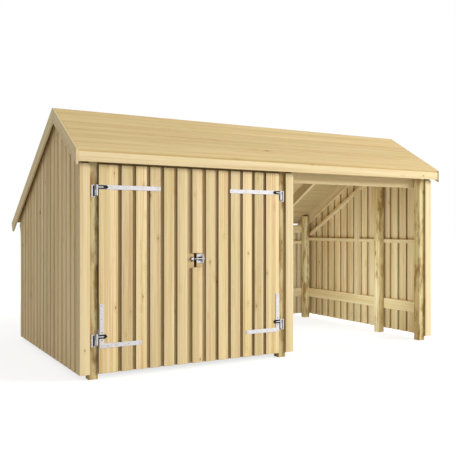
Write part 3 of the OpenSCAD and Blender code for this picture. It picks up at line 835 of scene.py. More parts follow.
@dataclass
class Carcass:
    """Posts, rails, studs, beams and rafters."""

    lines: RoofLines
    finishes: Finishes
    rafter_height: float = 0.120
    rafter_count: int = 8
    # Painted shade on the rafters' broad sides under the roof, less on the rafters in a wall's plane
    rafter_shade: float = 0.48
    wall_rafter_shade: float = 0.1
    rail_heights: tuple[float, float] = (0.132, 0.045)
    gable_rail_rise: float = 0.047
    slope_rail_drop: float = 0.325
    slope_rail_height: float = 0.046
    # Painted shade on the two front posts, which stand recessed between a corner or trim board and the doors
    darkened: dict[str, float] = field(default_factory=lambda: {"front_left_post": 0.28, "front_middle_post": 0.2})

    def posts(self) -> None:
        """Builds the nine posts with rounded edges."""
        outline = softened(rectangle(POST_WIDTH, POST_WIDTH), POST_ROUND, 6)
        names = [node for node in frame["nodes"] if node.endswith("_post")]
        for seed, node in enumerate(sorted(names)):
            low, high = corners_of(node)
            shape = Shape(20 + seed)
            shape.prisms(outline, (low + high) / 2 * (1, 1, 0), (X, Y, Z), low[2], high[2], POST_EDGE,
                         age=self.darkened.get(node, 0.0))
            shape.build(node + "_timber", node, self.finishes[Finish.POST])

    def bar(self, shape: Shape, low: Array, high: Array, along: Array) -> None:
        """Adds a straight timber that fills a box.

        Args:
            shape: shape that takes the timber.
            low: lowest corner.
            high: highest corner.
            along: direction of the timber's length.
        """
        axes = (np.roll(along, 1), np.roll(along, 2), along)
        size = high - low
        outline = softened(rectangle(float(size @ axes[0]), float(size @ axes[1])), FRAME_ROUND, 3)
        half = float(size @ along) / 2
        shape.prisms(outline, (low + high) / 2, axes, -half, half, FRAME_EDGE)

    def slab(self, shape: Shape, corners: Outline, x: Array, along: Array, side_shade: float = 0.0) -> None:
        """Adds timbers cut to an outline over depth and height, each standing at one place along the front.

        Args:
            shape: shape that takes the timbers.
            corners: outline as depth and height.
            x: lower ends of the timbers along the front.
            along: direction of the grain.
            side_shade: painted shade on the timbers' broad sides.
        """
        outline = softened(corners, FRAME_ROUND, 2)
        origins = np.atleast_1d(x)[:, None] * X
        age = np.zeros((4, len(outline)))
        # Painted shade on the broad sides
        age[[0, 3]] = side_shade
        shape.prisms(outline, origins, (Y, Z, X), 0.0, TIMBER_DEPTH, FRAME_EDGE, (np.cross(X, along), X, along), age)

    def panel_places(self) -> Array:
        """Gives the places along the front of the left gable's, the partition's and the right gable's timbers."""
        return np.array([corners_of(wall + "_rails")[0][0] for wall in ("left_gable", "partition", "right_gable")])

    def rails(self) -> None:
        """Builds the rails of the gables and the partition: low, middle in two lengths, and sloping at the back."""
        low_height, mid_height = self.rail_heights
        stud_low, stud_high = corners_of("gable_studs")
        top = corners_of("back_rails")[1][2] + self.gable_rail_rise
        mid = top - mid_height
        ends = np.array((corners_of("left_gable_post")[1][1], corners_of("back_left_post")[0][1]))
        heads = self.lines.back(ends) - self.slope_rail_drop
        feet = heads - self.slope_rail_height
        sloping = [(ends[0], heads[0]), (ends[1], heads[1]), (ends[1], feet[1]), (ends[0], feet[0])]
        for seed, node in enumerate(("left_gable_rails", "right_gable_rails", "partition_rails")):
            low, high = corners_of(node)
            shape = Shape(40 + seed)
            self.bar(shape, low, np.array((high[0], high[1], low[2] + low_height)), Y)
            self.bar(shape, np.array((low[0], low[1], mid)), np.array((high[0], stud_low[1], top)), Y)
            self.bar(shape, np.array((low[0], stud_high[1], mid)), np.array((high[0], high[1], top)), Y)
            self.slab(shape, sloping, low[0], DOWN_BACK)
            shape.build(node + "_timber", node, self.finishes[Finish.RAIL])

    def back_rails(self) -> None:
        """Builds the back wall's two rails."""
        low_height, mid_height = self.rail_heights
        low, high = corners_of("back_rails")
        shape = Shape(44)
        for base, height in ((low[2], low_height), (high[2] - mid_height, mid_height)):
            self.bar(shape, np.array((low[0], low[1], base)), np.array((high[0], high[1], base + height)), X)
        shape.build("back_rails_timber", "back_rails", self.finishes[Finish.RAIL])

    def studs(self) -> None:
        """Builds the studs of the gables and the partition, from the low rail to the sloping one."""
        low, high = corners_of("gable_studs")
        shape = Shape(45)
        sides = np.array((low[1], high[1]))
        heads = self.lines.back(sides) - self.slope_rail_drop - self.slope_rail_height
        corners = [(sides[0], low[2]), (sides[0], heads[0]), (sides[1], heads[1]), (sides[1], low[2])]
        self.slab(shape, corners, self.panel_places(), Z)
        shape.build("gable_studs_timber", "gable_studs", self.finishes[Finish.RAIL])

    def beams(self) -> None:
        """Builds the front and the back beam."""
        for seed, node in enumerate(("front_beam", "back_beam")):
            shape = Shape(50 + seed)
            self.bar(shape, *corners_of(node), X)
            shape.build(node + "_timber", node, self.finishes[Finish.RAIL])

    def rafters(self) -> None:
        """Builds the rafters of both slopes, with their level seats."""
        lines = self.lines
        ridge, deck, depth = lines.ridge_y, DECK_DEPTH, DECK_DEPTH + self.rafter_height
        beam, tail = corners_of("front_beam")[1][2], corners_of("front_rafters")[0][1]
        seat = ridge - (lines.front(ridge, depth) - beam) / math.tan(FRONT_PITCH)
        front = [(tail, beam), (tail, lines.front(tail, deck)), (ridge, lines.front(ridge, deck)),
                 (ridge, lines.front(ridge, depth)), (seat, beam)]
        beam, wall = corners_of("back_beam")[1][2], corners_of("back_boards")[1][1]
        seat = ridge + (lines.back(ridge, depth) - beam) / math.tan(BACK_PITCH)
        tail = lines.back_y - deck * math.sin(BACK_PITCH)
        back = [(ridge, lines.back(ridge, deck)), (tail, lines.back(tail, deck)),
                (tail - self.rafter_height * math.sin(BACK_PITCH),
                 lines.back(tail, deck) - self.rafter_height * math.cos(BACK_PITCH)),
                (wall, lines.back(wall, depth)), (wall, beam), (seat, beam), (ridge, lines.back(ridge, depth))]
        painted_shades = (self.rafter_shade, self.wall_rafter_shade)
        rows = (("front_rafters", front, UP_FRONT, 60), ("back_rafters", back, DOWN_BACK, 61))
        for node, corners, along, seed in rows:
            shape = Shape(seed)
            for places, age in zip(self.rafter_places(), painted_shades):
                self.slab(shape, corners, places, along, age)
            shape.build(node + "_timber", node, self.finishes[Finish.RAIL])

    def rafter_places(self) -> tuple[Array, Array]:
        """Gives the evenly spaced places of the free rafters, and those of the rafters in a wall's plane."""
        walled = self.panel_places()
        return np.linspace(walled[0], walled[-1], self.rafter_count)[1:-1], walled

    def build(self) -> None:
        """Builds all of the frame."""
        self.posts()
        self.rails()
        self.back_rails()
        self.studs()
        self.beams()
        self.rafters()


@dataclass
class Roof:
    """Tongued and grooved boards of both slopes, the fascia, the barge boards and the trim boards."""

    lines: RoofLines
    finishes: Finishes
    cover: float = 0.092
    groove: float = 0.0022
    end_edge: float = 0.0015
    # Painted shade on the roof boards' undersides
    under_shade: float = 0.25
    barge_height: float = 0.116
    # Painted shade on the right front barge board's front end
    barge_end_shade: float = 0.9
    # Painted shade on the trim boards' sides and backs
    trim_side_shade: float = 0.55
    trim_back_shade: float = 0.5

    def slope(self, node: str, down: Array, pitch: float, seed: int) -> None:
        """Lays boards down a slope from the ridge; the first has a plumb edge at the ridge.

        Args:
            node: name of the solid that the boards stand for.
            down: direction down the slope.
            pitch: angle of the slope.
            seed: number for the boards' grain.
        """
        low, high = corners_of(node)
        out = np.cross(down, X)
        axes = (down, out * np.sign(out[2]), X)
        reach = abs((high[1] - low[1]) / down[1])
        count = round(reach / self.cover)
        step = reach / count
        shape = Shape(seed)
        ridge = np.array((low[0], self.lines.ridge_y, self.lines.ridge_z))
        places = ridge + np.arange(count)[:, None] * step * down
        # Painted shade on the boards' undersides
        age = np.repeat((0.0, 0.0, self.under_shade, self.under_shade), 3)
        for start, origins in ((DECK_DEPTH * math.tan(pitch), places[:1]), (0.0, places[1:])):
            corners = [(0.0, 0.0), (step, 0.0), (step, -DECK_DEPTH), (start, -DECK_DEPTH)]
            shape.prisms(softened(corners, self.groove, 3), origins, axes, 0.0, float(high[0] - low[0]),
                         self.end_edge, age=age)
        shape.build(node + "_laid", node, self.finishes[Finish.ROOF])

    def upright(self, node: str, corners: Outline, fibres: Sequence[Array], seed: int, end_shade: float = 0.0) -> None:
        """Builds a board cut to an outline over depth and height, as thick as its solid.

        Args:
            node: name of the solid that the board stands for.
            corners: outline as depth and height.
            fibres: directions across, through and along the timber.
            seed: number for the board's grain.
            end_shade: painted shade on the end grain between the last and the first corner.
        """
        low, high = corners_of(node)
        shape = Shape(seed)
        outline = softened(corners, BOARD_ROUND, 3)
        age = np.zeros((4, len(outline)))
        # Painted shade on the end grain
        age[1:3, [0, 1, -2, -1]] = end_shade
        shape.prisms(outline, low * (1, 0, 0), (Y, Z, X), 0.0, float(high[0] - low[0]), BOARD_EDGE, fibres, age)
        shape.build(node + "_timber", node, self.finishes[Finish.TRIM])

    def edges(self) -> None:
        """Builds the fascia and the four barge boards."""
        lines = self.lines
        low, high = corners_of("front_fascia")
        corners = [(low[1], low[2]), (low[1], lines.front(low[1], DECK_DEPTH)),
                   (high[1], lines.front(high[1], DECK_DEPTH)), (high[1], low[2])]
        self.upright("front_fascia", corners, (Z, Y, X), 80)
        ridge, eave, tail, depth = lines.ridge_y, lines.eave_y, lines.back_y, self.barge_height
        front = [(eave, lines.front(eave)), (ridge, lines.ridge_z), (ridge, lines.front(ridge, depth)),
                 (eave, lines.front(eave, depth))]
        back = [(ridge, lines.ridge_z), (tail, lines.back(tail)),
                (tail - depth * math.sin(BACK_PITCH), lines.back(tail) - depth * math.cos(BACK_PITCH)),
                (ridge, lines.back(ridge, depth))]
        # Painted shade on the right front barge's front end only
        for seed, (side, age) in enumerate((("left", 0.0), ("right", self.barge_end_shade))):
            self.upright(side + "_front_barge", front, (np.cross(X, UP_FRONT), X, UP_FRONT), 81 + seed, age)
            self.upright(side + "_back_barge", back, (np.cross(X, DOWN_BACK), X, DOWN_BACK), 83 + seed)

    def build(self) -> None:
        """Builds both slopes, their edges, the two corner boards and the middle trim board."""
        self.slope("front_roof_boards", -UP_FRONT, FRONT_PITCH, 70)
        self.slope("back_roof_boards", DOWN_BACK, BACK_PITCH, 71)
        self.edges()
        # Painted shade on the sides and backs of the corner boards and the middle trim board
        age = painted_shade_steps(0.0, self.trim_side_shade, self.trim_back_shade)
        for seed, node in enumerate(("left_corner_board", "middle_trim_board", "right_corner_board")):
            upright_board(node, self.finishes[Finish.TRIM], age, 86 + seed)


@dataclass
class Doors:
    """Boards, ledges and meeting boards of the two doors."""

    finishes: Finishes
    left_edge_width: float = 0.172
    right_edge_width: float = 0.159
    left_edge_reach: float = 0.008
    # Painted shade, darkened twice over, on the hinge-side board's left edge, as the dark line of the gap beside the
    # post
    left_edge_shade: float = 1.9
    rebate: float = 0.007
    ledge_height: float = 0.095
    cut_height: float = 0.138
    cut_drop: float = 0.013
    # Painted shade on the boards' sides in the gaps, on the boards behind the gaps, and on the closing boards' faces
    side_shade: float = 0.9
    recess_shade: float = 0.42
    closing_shade: float = 0.3
    ledge_round: float = 0.004
    ledge_edge: float = 0.006

    def boards(self, node: str, edge_width: float, hinge_left: bool, seed: int) -> None:
        """Builds a door's outer boards and the boards that close the gaps behind them.

        Args:
            node: name of the solid that the boards stand for.
            edge_width: width of the hinge-side board.
            hinge_left: whether the hinge side is on the left.
            seed: number for the boards' grain.
        """
        low, high = corners_of(node)
        shape = Shape(seed)
        count = round((high[0] - low[0] - edge_width) / BOARD_PITCH)
        steps = np.arange(count) * BOARD_PITCH
        edge_x = low[0] - self.left_edge_reach if hinge_left else high[0] - edge_width
        edge_width += self.left_edge_reach if hinge_left else 0.0
        first = high[0] - BOARD_WIDTH - steps[-1] if hinge_left else low[0]
        starts = first + steps
        lefts = np.sort(np.append(starts, edge_x))
        widths = np.where(np.isclose(lefts, edge_x), edge_width, BOARD_WIDTH)
        gaps = (lefts[:-1] + widths[:-1] + lefts[1:]) / 2
        layers = ((starts + BOARD_WIDTH / 2, BOARD_WIDTH, 0.5), (np.array([edge_x + edge_width / 2]), edge_width, 0.5),
                  (gaps, BOARD_WIDTH, 1.5))
        for middles, width, layer in layers:
            outline = softened(rectangle(width, BOARD_DEPTH), BOARD_ROUND)
            origins = middles[:, None] * X + (low[1] + layer * BOARD_DEPTH) * Y
            # Painted shade in the gaps: on the boards' sides, and on the faces of the boards behind them
            age = painted_shade_steps(self.recess_shade if layer > 1 else 0.0, self.side_shade, 0.0)
            # Painted shade, twice over, on the hinge-side board's left edge
            if hinge_left and width == edge_width:
                age[[0, -1]] = self.left_edge_shade
            shape.prisms(outline, origins, (X, Y, Z), low[2], high[2], BOARD_EDGE, age=age)
        shape.build(node + "_timber", node, self.finishes[Finish.WALL])

    @staticmethod
    def bolt_height() -> float:
        """Gives the height of the bolt's middle."""
        low, high = corners_of("bolt_plate")
        return float(low[2] + high[2]) / 2

    def ledges(self, node: str, seed: int) -> None:
        """Builds the three level ledges behind a door.

        Args:
            node: name of the solids that the ledges stand for.
            seed: number for the ledges' grain.
        """
        low, high = corners_of(node)
        shape = Shape(seed)
        outline = softened(rectangle(high[1] - low[1], self.ledge_height), self.ledge_round, 3)
        half = self.ledge_height / 2
        heights = np.array((low[2] + half, self.bolt_height(), high[2] - half))
        origins = (low[1] + high[1]) / 2 * Y + heights[:, None] * Z
        shape.prisms(outline, origins, (Y, Z, X), low[0], high[0], self.ledge_edge, (Z, Y, X))
        shape.build(node + "_timber", node, self.finishes[Finish.RAIL])

    def meeting(self) -> None:
        """Builds the meeting board's two lengths, rebated over the left door."""
        low, high = corners_of("meeting_boards")
        free = corners_of("right_closing_board")[0][0]
        foot = self.bolt_height() - self.cut_height / 2 - self.cut_drop
        shape = Shape(100)
        corners = [(low[0], low[1]), (high[0], low[1]), (high[0], high[1]), (free, high[1]),
                   (free, high[1] - self.rebate), (low[0], high[1] - self.rebate)]
        outline = softened(corners, BOARD_ROUND, 3)
        limits = np.array(((low[2], foot), (foot + self.cut_height, high[2])))
        age = np.zeros(len(outline))
        # Painted shade on the meeting board's left side, in the gap
        age[[0, -1]], age[[1, -2]] = self.side_shade, self.side_shade / 2
        shape.prisms(outline, np.zeros((2, 3)), (X, Y, Z), limits[:, 0], limits[:, 1], FRAME_EDGE, age=age)
        shape.build("meeting_boards_timber", "meeting_boards", self.finishes[Finish.WALL])

    def build(self) -> None:
        """Builds both doors."""
        self.boards("left_door_boards", self.left_edge_width, True, 90)
        self.boards("right_door_boards", self.right_edge_width, False, 91)
        # Painted shade on the closing boards' faces and sides
        age = painted_shade_steps(self.closing_shade, self.side_shade, 0.0)
        upright_board("left_closing_board", self.finishes[Finish.WALL], age, 92)
        upright_board("right_closing_board", self.finishes[Finish.WALL], age, 93)
        self.ledges("left_door_ledges", 94)
        self.ledges("right_door_ledges", 95)
        self.meeting()


@dataclass
class Hinges:
    """One door's hook hinges: two hooks on the post, a long strap and an angle plate with rolled eyes on the door."""

    finishes: Finishes
    side: str
    strap_height: float = 0.040
    strap_depth: float = 0.005
    strap_length: float = 0.610
    strap_cut: float = 0.008
    angle_length: float = 0.396
    angle_height: float = 0.393
    eye_rise: float = 0.082
    pin_inset: float = 0.023
    pin_radius: float = 0.006
    eye_radius: float = 0.0113
    bore_radius: float = 0.0063
    hook_width: float = 0.034
    hook_gap: float = 0.003
    hook_height: float = 0.110
    hook_depth: float = 0.005
    arm_height: float = 0.054
    arm_root: float = 0.004
    collar_radius: float = 0.009
    collar_gap: float = 0.001
    # Size and place of the black sheet that is the painted shade of the hook plate's slot
    slot_width: float = 0.015
    slot_inset: float = 0.006
    slot_lift: float = 0.0006
    hook_round: float = 0.006
    hook_screw: tuple[float, float] = (0.008, 0.022)
    root: float = 0.004
    corner: float = 0.003
    plate_edge: float = 0.0008
    prong: float = 0.003
    notch: float = 0.086
    notch_point: float = 0.104
    angle_notch: float = 0.012
    angle_point: float = 0.004
    tongue: float = 0.058
    angle_tongue: float = 0.062
    tongue_half: float = 0.0045
    tongue_round: float = 0.004
    tongue_depths: tuple[float, float] = (0.002, 0.0015)
    # Size and place of the black sheets that are painted shade in the forks
    shade_start: float = 0.012
    shade_half: float = 0.0185
    shade_point: float = 0.018
    shade_lift: float = 0.0012
    shade_round: float = 0.002
    shade_reach: float = 0.106
    angle_shade_reach: float = 0.094
    strap_screws: tuple[float, ...] = (0.135, 0.272, 0.430, 0.585)
    angle_screws: tuple[float, ...] = (0.075, 0.150, 0.272, 0.378)
    upright_screws: tuple[float, ...] = (0.020, 0.256, 0.375)
    upright_holes: tuple[float, ...] = (0.068, 0.139)
    pin: Array = field(init=False)
    front: float = field(init=False)
    run: Array = field(init=False)
    upper: float = field(init=False)
    foot: float = field(init=False)

    def __post_init__(self) -> None:
        """Reads the pin's place, the door's face and the heights."""
        joint = next(row for row in frame["joints"] if row["name"] == self.side + "_door_hinge")
        self.pin = np.array(joint["pos_m"]) * (1, 1, 0)
        low, high = corners_of(self.side + "_straps")
        self.front = float(corners_of(self.side + "_door_boards")[0][1])
        self.run = X if self.side == "left" else -X
        self.upper = high[2] - self.strap_height
        self.foot = low[2]

    def plate(self, shape: Shape, corners: Outline, radius: float, low: float, high: float) -> None:
        """Adds a plate between two depths, from a rounded outline of distance from the pin and height."""
        shape.prisms(softened(corners, radius), self.pin * (1, 0, 0), (self.run, Z, Y), low, high, self.plate_edge)

    def studded(self, shape: Shape, profile: Outline, places: Array, depth: float,
                segments: int = HEAD_SEGMENTS) -> None:
        """Turns a profile at places on a plate's face, given as distance from the pin and height."""
        origins = self.pin * (1, 0, 0) + places[:, :1] * self.run + places[:, 1:] * Z + depth * Y
        shape.turned(profile, origins, (Z, X, Y), segments)

    def eyes(self) -> tuple[float, float]:
        """Gives the heights at which the strap's and the angle plate's eyes start."""
        return self.upper, self.foot + self.eye_rise

    def fork(self, base: float, notch: float, point: float) -> Outline:
        """Gives the opening between a fork's prongs, which narrows at the notch and ends at the point."""
        low, high = base + self.prong, base + self.strap_height - self.prong
        return [(self.root, high), (notch, high), (point, base + self.strap_height / 2), (notch, low), (self.root, low)]

    def straps(self) -> None:
        """Builds the strap and the angle plate, forked beside the eye, each with a tongue in the fork."""
        height, face, root = self.strap_height, self.front - self.strap_depth, self.root
        shape = Shape(110)
        low, end, cut = self.upper, self.strap_length, self.strap_cut
        top = low + height
        strap = [(root, low), (end - cut, low), (end, low + cut), (end, top - cut), (end - cut, top), (root, top)]
        strap += self.fork(low, self.notch, self.notch_point)
        self.plate(shape, strap, self.corner, face, self.front)
        low, eye, edge = self.foot, self.foot + self.eye_rise, self.pin_inset
        side, end = edge + height, edge + self.angle_length
        angle = [(edge, low), (end, low), (end, low + height), (side, low + height), (side, low + self.angle_height),
                 (edge, low + self.angle_height), (edge, eye + height), (root, eye + height)]
        angle += self.fork(eye, side - self.angle_notch, side - self.angle_point) + [(root, eye), (edge, eye)]
        self.plate(shape, angle, self.corner, face, self.front)
        out, sunk = self.tongue_depths
        bore, rim = self.bore_radius, self.eye_radius
        ring = [(bore, LIP), (bore + LIP, 0.0), (rim - LIP, 0.0), (rim, LIP), (rim, height - LIP), (rim - LIP, height),
                (bore + LIP, height), (bore, height - LIP)]
        for base, reach in zip(self.eyes(), (self.tongue, self.angle_tongue)):
            middle = base + height / 2
            tongue = spanned((root, middle - self.tongue_half), (reach, middle + self.tongue_half))
            self.plate(shape, tongue, self.tongue_round, face - out, self.front - sunk)
            shape.turned(ring, self.pin + base * Z, (X, Y, Z), EYE_SEGMENTS, ring=True)
        self.studded(shape, SCREW_HEAD, self.strap_places(), face)
        shape.build(self.side + "_straps_steel", self.side + "_straps", self.finishes[Finish.ZINC])

    def strap_places(self) -> Array:
        """Places the screws of the strap and the angle plate.

        Returns:
            The distance from the pin and the height of each screw, as rows.
        """
        half, edge = self.strap_height / 2, self.pin_inset
        rows = [(u, self.upper + half) for u in self.strap_screws]
        rows += [(edge + u, self.foot + half) for u in self.angle_screws]
        rows += [(edge + half, self.foot + z) for z in self.upright_screws]
        return np.array(rows)

    def shade_sheets(self) -> None:
        """Builds black sheets as painted shade in the forks, in the screws' pits and in the angle plate's open holes.
        """
        half, face = self.strap_height / 2, self.front - self.strap_depth
        shape = Shape(112)
        for base, tip, front in zip(self.eyes(), (self.shade_reach, self.angle_shade_reach), (self.front, face)):
            low, high = base + half - self.shade_half, base + half + self.shade_half
            neck = tip - self.shade_point
            shade_sheet = [(self.shade_start, low), (neck, low), (tip, base + half), (neck, high), (self.shade_start, high)]
            self.plate(shape, shade_sheet, self.shade_round, front - self.shade_lift, self.front + SINK)
        holes = np.array([(self.pin_inset + half, self.foot + z) for z in self.upright_holes])
        self.studded(shape, OPEN_HOLE, holes, face)
        self.studded(shape, SCREW_PIT, self.strap_places(), face, PIT_SEGMENTS)
        shape.build(self.side + "_strap_painted_shade", self.side + "_straps", self.finishes[Finish.DARK], stands=False)

    def hooks(self) -> None:
        """Builds the two hooks: a plate with two screws and a black sheet as the painted shade of a slot, an arm, a
        collar and a round-headed pin.
        """
        post = float(corners_of("front_left_post")[0][1])
        face = post - self.hook_depth
        near = -self.eye_radius - self.hook_gap
        far, inner, inset = near - self.hook_width, near - self.arm_root, self.slot_inset
        aside, inward = self.hook_screw
        collar, radius, arm = self.collar_radius, self.pin_radius, self.arm_height
        length = arm + self.collar_gap + self.strap_height
        profile = [(collar - LIP, 0.0), (collar, LIP), (collar, arm - LIP), (collar - LIP, arm), (radius, arm)]
        profile += [(radius * share, length + rise) for share, rise in PIN_HEAD]
        shape, slot_shade = Shape(114), Shape(116)
        for eye in self.eyes():
            top, arm_top = eye + self.strap_height, eye - self.collar_gap
            low, arm_low = top - self.hook_height, arm_top - arm
            self.plate(shape, spanned((far, low), (near, top)), self.hook_round, face, post)
            self.plate(shape, spanned((inner, arm_low), (0.0, arm_top)), self.corner, float(self.pin[1]), face + SINK)
            slot = spanned((inner - self.slot_width, low + inset), (inner, top - inset))
            # Black sheet as painted shade in the slot
            self.plate(slot_shade, slot, self.hook_round, face - self.slot_lift, face + SINK)
            screws = np.array(((far + aside, low + inward), (far + aside, top - inward)))
            self.studded(shape, SCREW_HEAD, screws, face)
            shape.turned(profile, self.pin + arm_low * Z, (X, Y, Z), PIN_SEGMENTS)
        shape.build(self.side + "_hooks_steel", self.side + "_hooks", self.finishes[Finish.ZINC])
        slot_shade.build(self.side + "_hook_slot_shade", self.side + "_hooks", self.finishes[Finish.DARK], stands=False)

    def build(self) -> None:
        """Builds the hinges of one door."""
        self.straps()
        self.shade_sheets()
        self.hooks()


@dataclass
class Bolt:
    """Sliding bolt in the cut of the meeting board: plate and loops, rod and handle, keeper."""

    finishes: Finishes
    rod_radius: float = 0.006
    plate_depth: float = 0.003
    plate_round: float = 0.004
    plate_edge: float = 0.0006
    screw_aside: float = 0.022
    screw_above: float = 0.033
    loop_wall: float = 0.005
    loop_width: float = 0.009
    loop_play: float = 0.0004
    loop_points: int = 13
    loop_edge: float = 0.0008
    rod_lift: float = 0.002
    handle_width: float = 0.009
    handle_gap: float = 0.003
    handle_root: float = 0.004
    handle_edge: float = 0.0012
    # Size of the black sheet that is the rod's painted shadow on the plate
    rod_shadow_half: float = 0.019
    rod_shadow_lift: float = 0.0006
    # Sizes of the black sheets that are painted shade: reach and depths behind the keeper, rounding and edge for both
    # sheets
    shade_reach: tuple[float, float] = (0.026, 0.020)
    shade_depths: tuple[float, float] = (0.0008, 0.0003)
    shade_round: float = 0.003
    shade_edge: float = 0.0003

    @staticmethod
    def sheet(shape: Shape, corners: Outline, radius: float, depths: tuple[float, float], edge: float) -> None:
        """Adds a sheet between two depths, from a rounded outline of place along the front and height."""
        shape.prisms(softened(corners, radius), np.zeros(3), (X, Z, Y), *depths, edge)

    def arch(self, shape: Shape, x: float, length: float, rod: Array, gap: float, back: float) -> None:
        """Adds a loop round the rod: half a ring in front of it, with two legs to the plate.

        Args:
            shape: shape that takes the loop.
            x: start of the loop along the front.
            length: length of the loop.
            rod: depth and height of the rod's middle.
            gap: play between rod and loop.
            back: depth of the face that the legs stand on.
        """
        inner = self.rod_radius + gap
        outer = inner + self.loop_wall
        angle = np.linspace(0.0, math.pi, self.loop_points)
        half = np.stack((-np.sin(angle), np.cos(angle)), 1)
        stand = back - rod[0]
        outline = np.concatenate(([(stand, outer)], half * outer, [(stand, -outer), (stand, -inner)],
                                  half[::-1] * inner, [(stand, inner)]))
        shape.prisms(outline, np.array((x, *rod)), (Y, Z, X), 0.0, length, self.loop_edge)

    def plates(self) -> None:
        """Builds the plate with its loops and screws, and a black sheet behind the rod as the rod's painted shadow on
        the plate.
        """
        low, high = corners_of("bolt_plate")
        rod = self.rod_line()
        face = high[1] - self.plate_depth
        shape = Shape(120)
        self.sheet(shape, spanned(low[[0, 2]], high[[0, 2]]), self.plate_round, (face, high[1]), self.plate_edge)
        for x in (low[0], high[0] - self.loop_width):
            self.arch(shape, x, self.loop_width, rod, self.loop_play, face + SINK)
        middle = (low + high) / 2
        spots = np.array([(middle[0] + dx, face, middle[2] + dz) for dx in (-self.screw_aside, self.screw_aside)
                          for dz in (-self.screw_above, self.screw_above)])
        shape.turned(SMALL_SCREW_HEAD, spots, (Z, X, Y))
        shape.build("bolt_plate_steel", "bolt_plate", self.finishes[Finish.ZINC])
        # Painted shadow of the rod: a black sheet on the plate's face behind the rod
        groove = Shape(126)
        corners = spanned((low[0] + self.loop_width, rod[1] - self.rod_shadow_half),
                          (high[0] - self.loop_width, rod[1] + self.rod_shadow_half))
        self.sheet(groove, corners, self.shade_round, (face - self.rod_shadow_lift, face + SINK), self.shade_edge)
        groove.build("bolt_plate_rod_shadow", "bolt_plate", self.finishes[Finish.DARK], stands=False)

    def rod_line(self) -> Array:
        """Places the rod in front of the plate, in the middle of its solid's height.

        Returns:
            The depth and height of the rod's middle.
        """
        low, high = corners_of("bolt_rod")
        plate = corners_of("bolt_plate")[1][1] - self.plate_depth
        return np.array((plate - self.rod_lift - self.rod_radius, (low[2] + high[2]) / 2))

    def rod(self) -> None:
        """Builds the rod with a chamfered tip and the flat handle with rounded corners."""
        low, high = corners_of("bolt_rod")
        line = self.rod_line()
        shape = Shape(122)
        length, radius = float(high[0] - low[0]), self.rod_radius
        profile = [(radius * share, rise) for share, rise in ROD_TIP]
        profile += [(radius, length - LIP), (radius - LIP, length)]
        shape.turned(profile, np.array((low[0], *line)), (Y, Z, X), PIN_SEGMENTS)
        handle = high[0] - LIP - self.loop_width - self.handle_gap - self.handle_width
        corners = spanned(low[1:] - line, (self.handle_root, high[2] - line[1]))
        shape.prisms(softened(corners, self.plate_round), np.array((handle, *line)), (Y, Z, X), 0.0,
                     self.handle_width, self.handle_edge)
        shape.build("bolt_rod_steel", "bolt_rod", self.finishes[Finish.ZINC])

    def keeper(self) -> None:
        """Builds the keeper's loop and a black sheet behind it as painted shade."""
        low, high = corners_of("bolt_keeper")
        rod = self.rod_line()
        shape = Shape(124)
        gap = (high[2] - low[2]) / 2 - self.rod_radius - self.loop_wall
        self.arch(shape, low[0], float(high[0] - low[0]), rod, gap, high[1])
        shape.build("bolt_keeper_steel", "bolt_keeper", self.finishes[Finish.ZINC])
        # Black sheet as painted shade behind the keeper
        shade_sheet = Shape(128)
        (below, above), (out, sunk) = self.shade_reach, self.shade_depths
        corners = spanned((low[0], rod[1] - below), (high[0], rod[1] + above))
        self.sheet(shade_sheet, corners, self.shade_round, (high[1] - out, high[1] + sunk), self.shade_edge)
        shade_sheet.build("bolt_keeper_shade", "bolt_keeper", self.finishes[Finish.DARK], stands=False)

    def build(self) -> None:
        """Builds the bolt."""
        self.plates()
        self.rod()
        self.keeper()


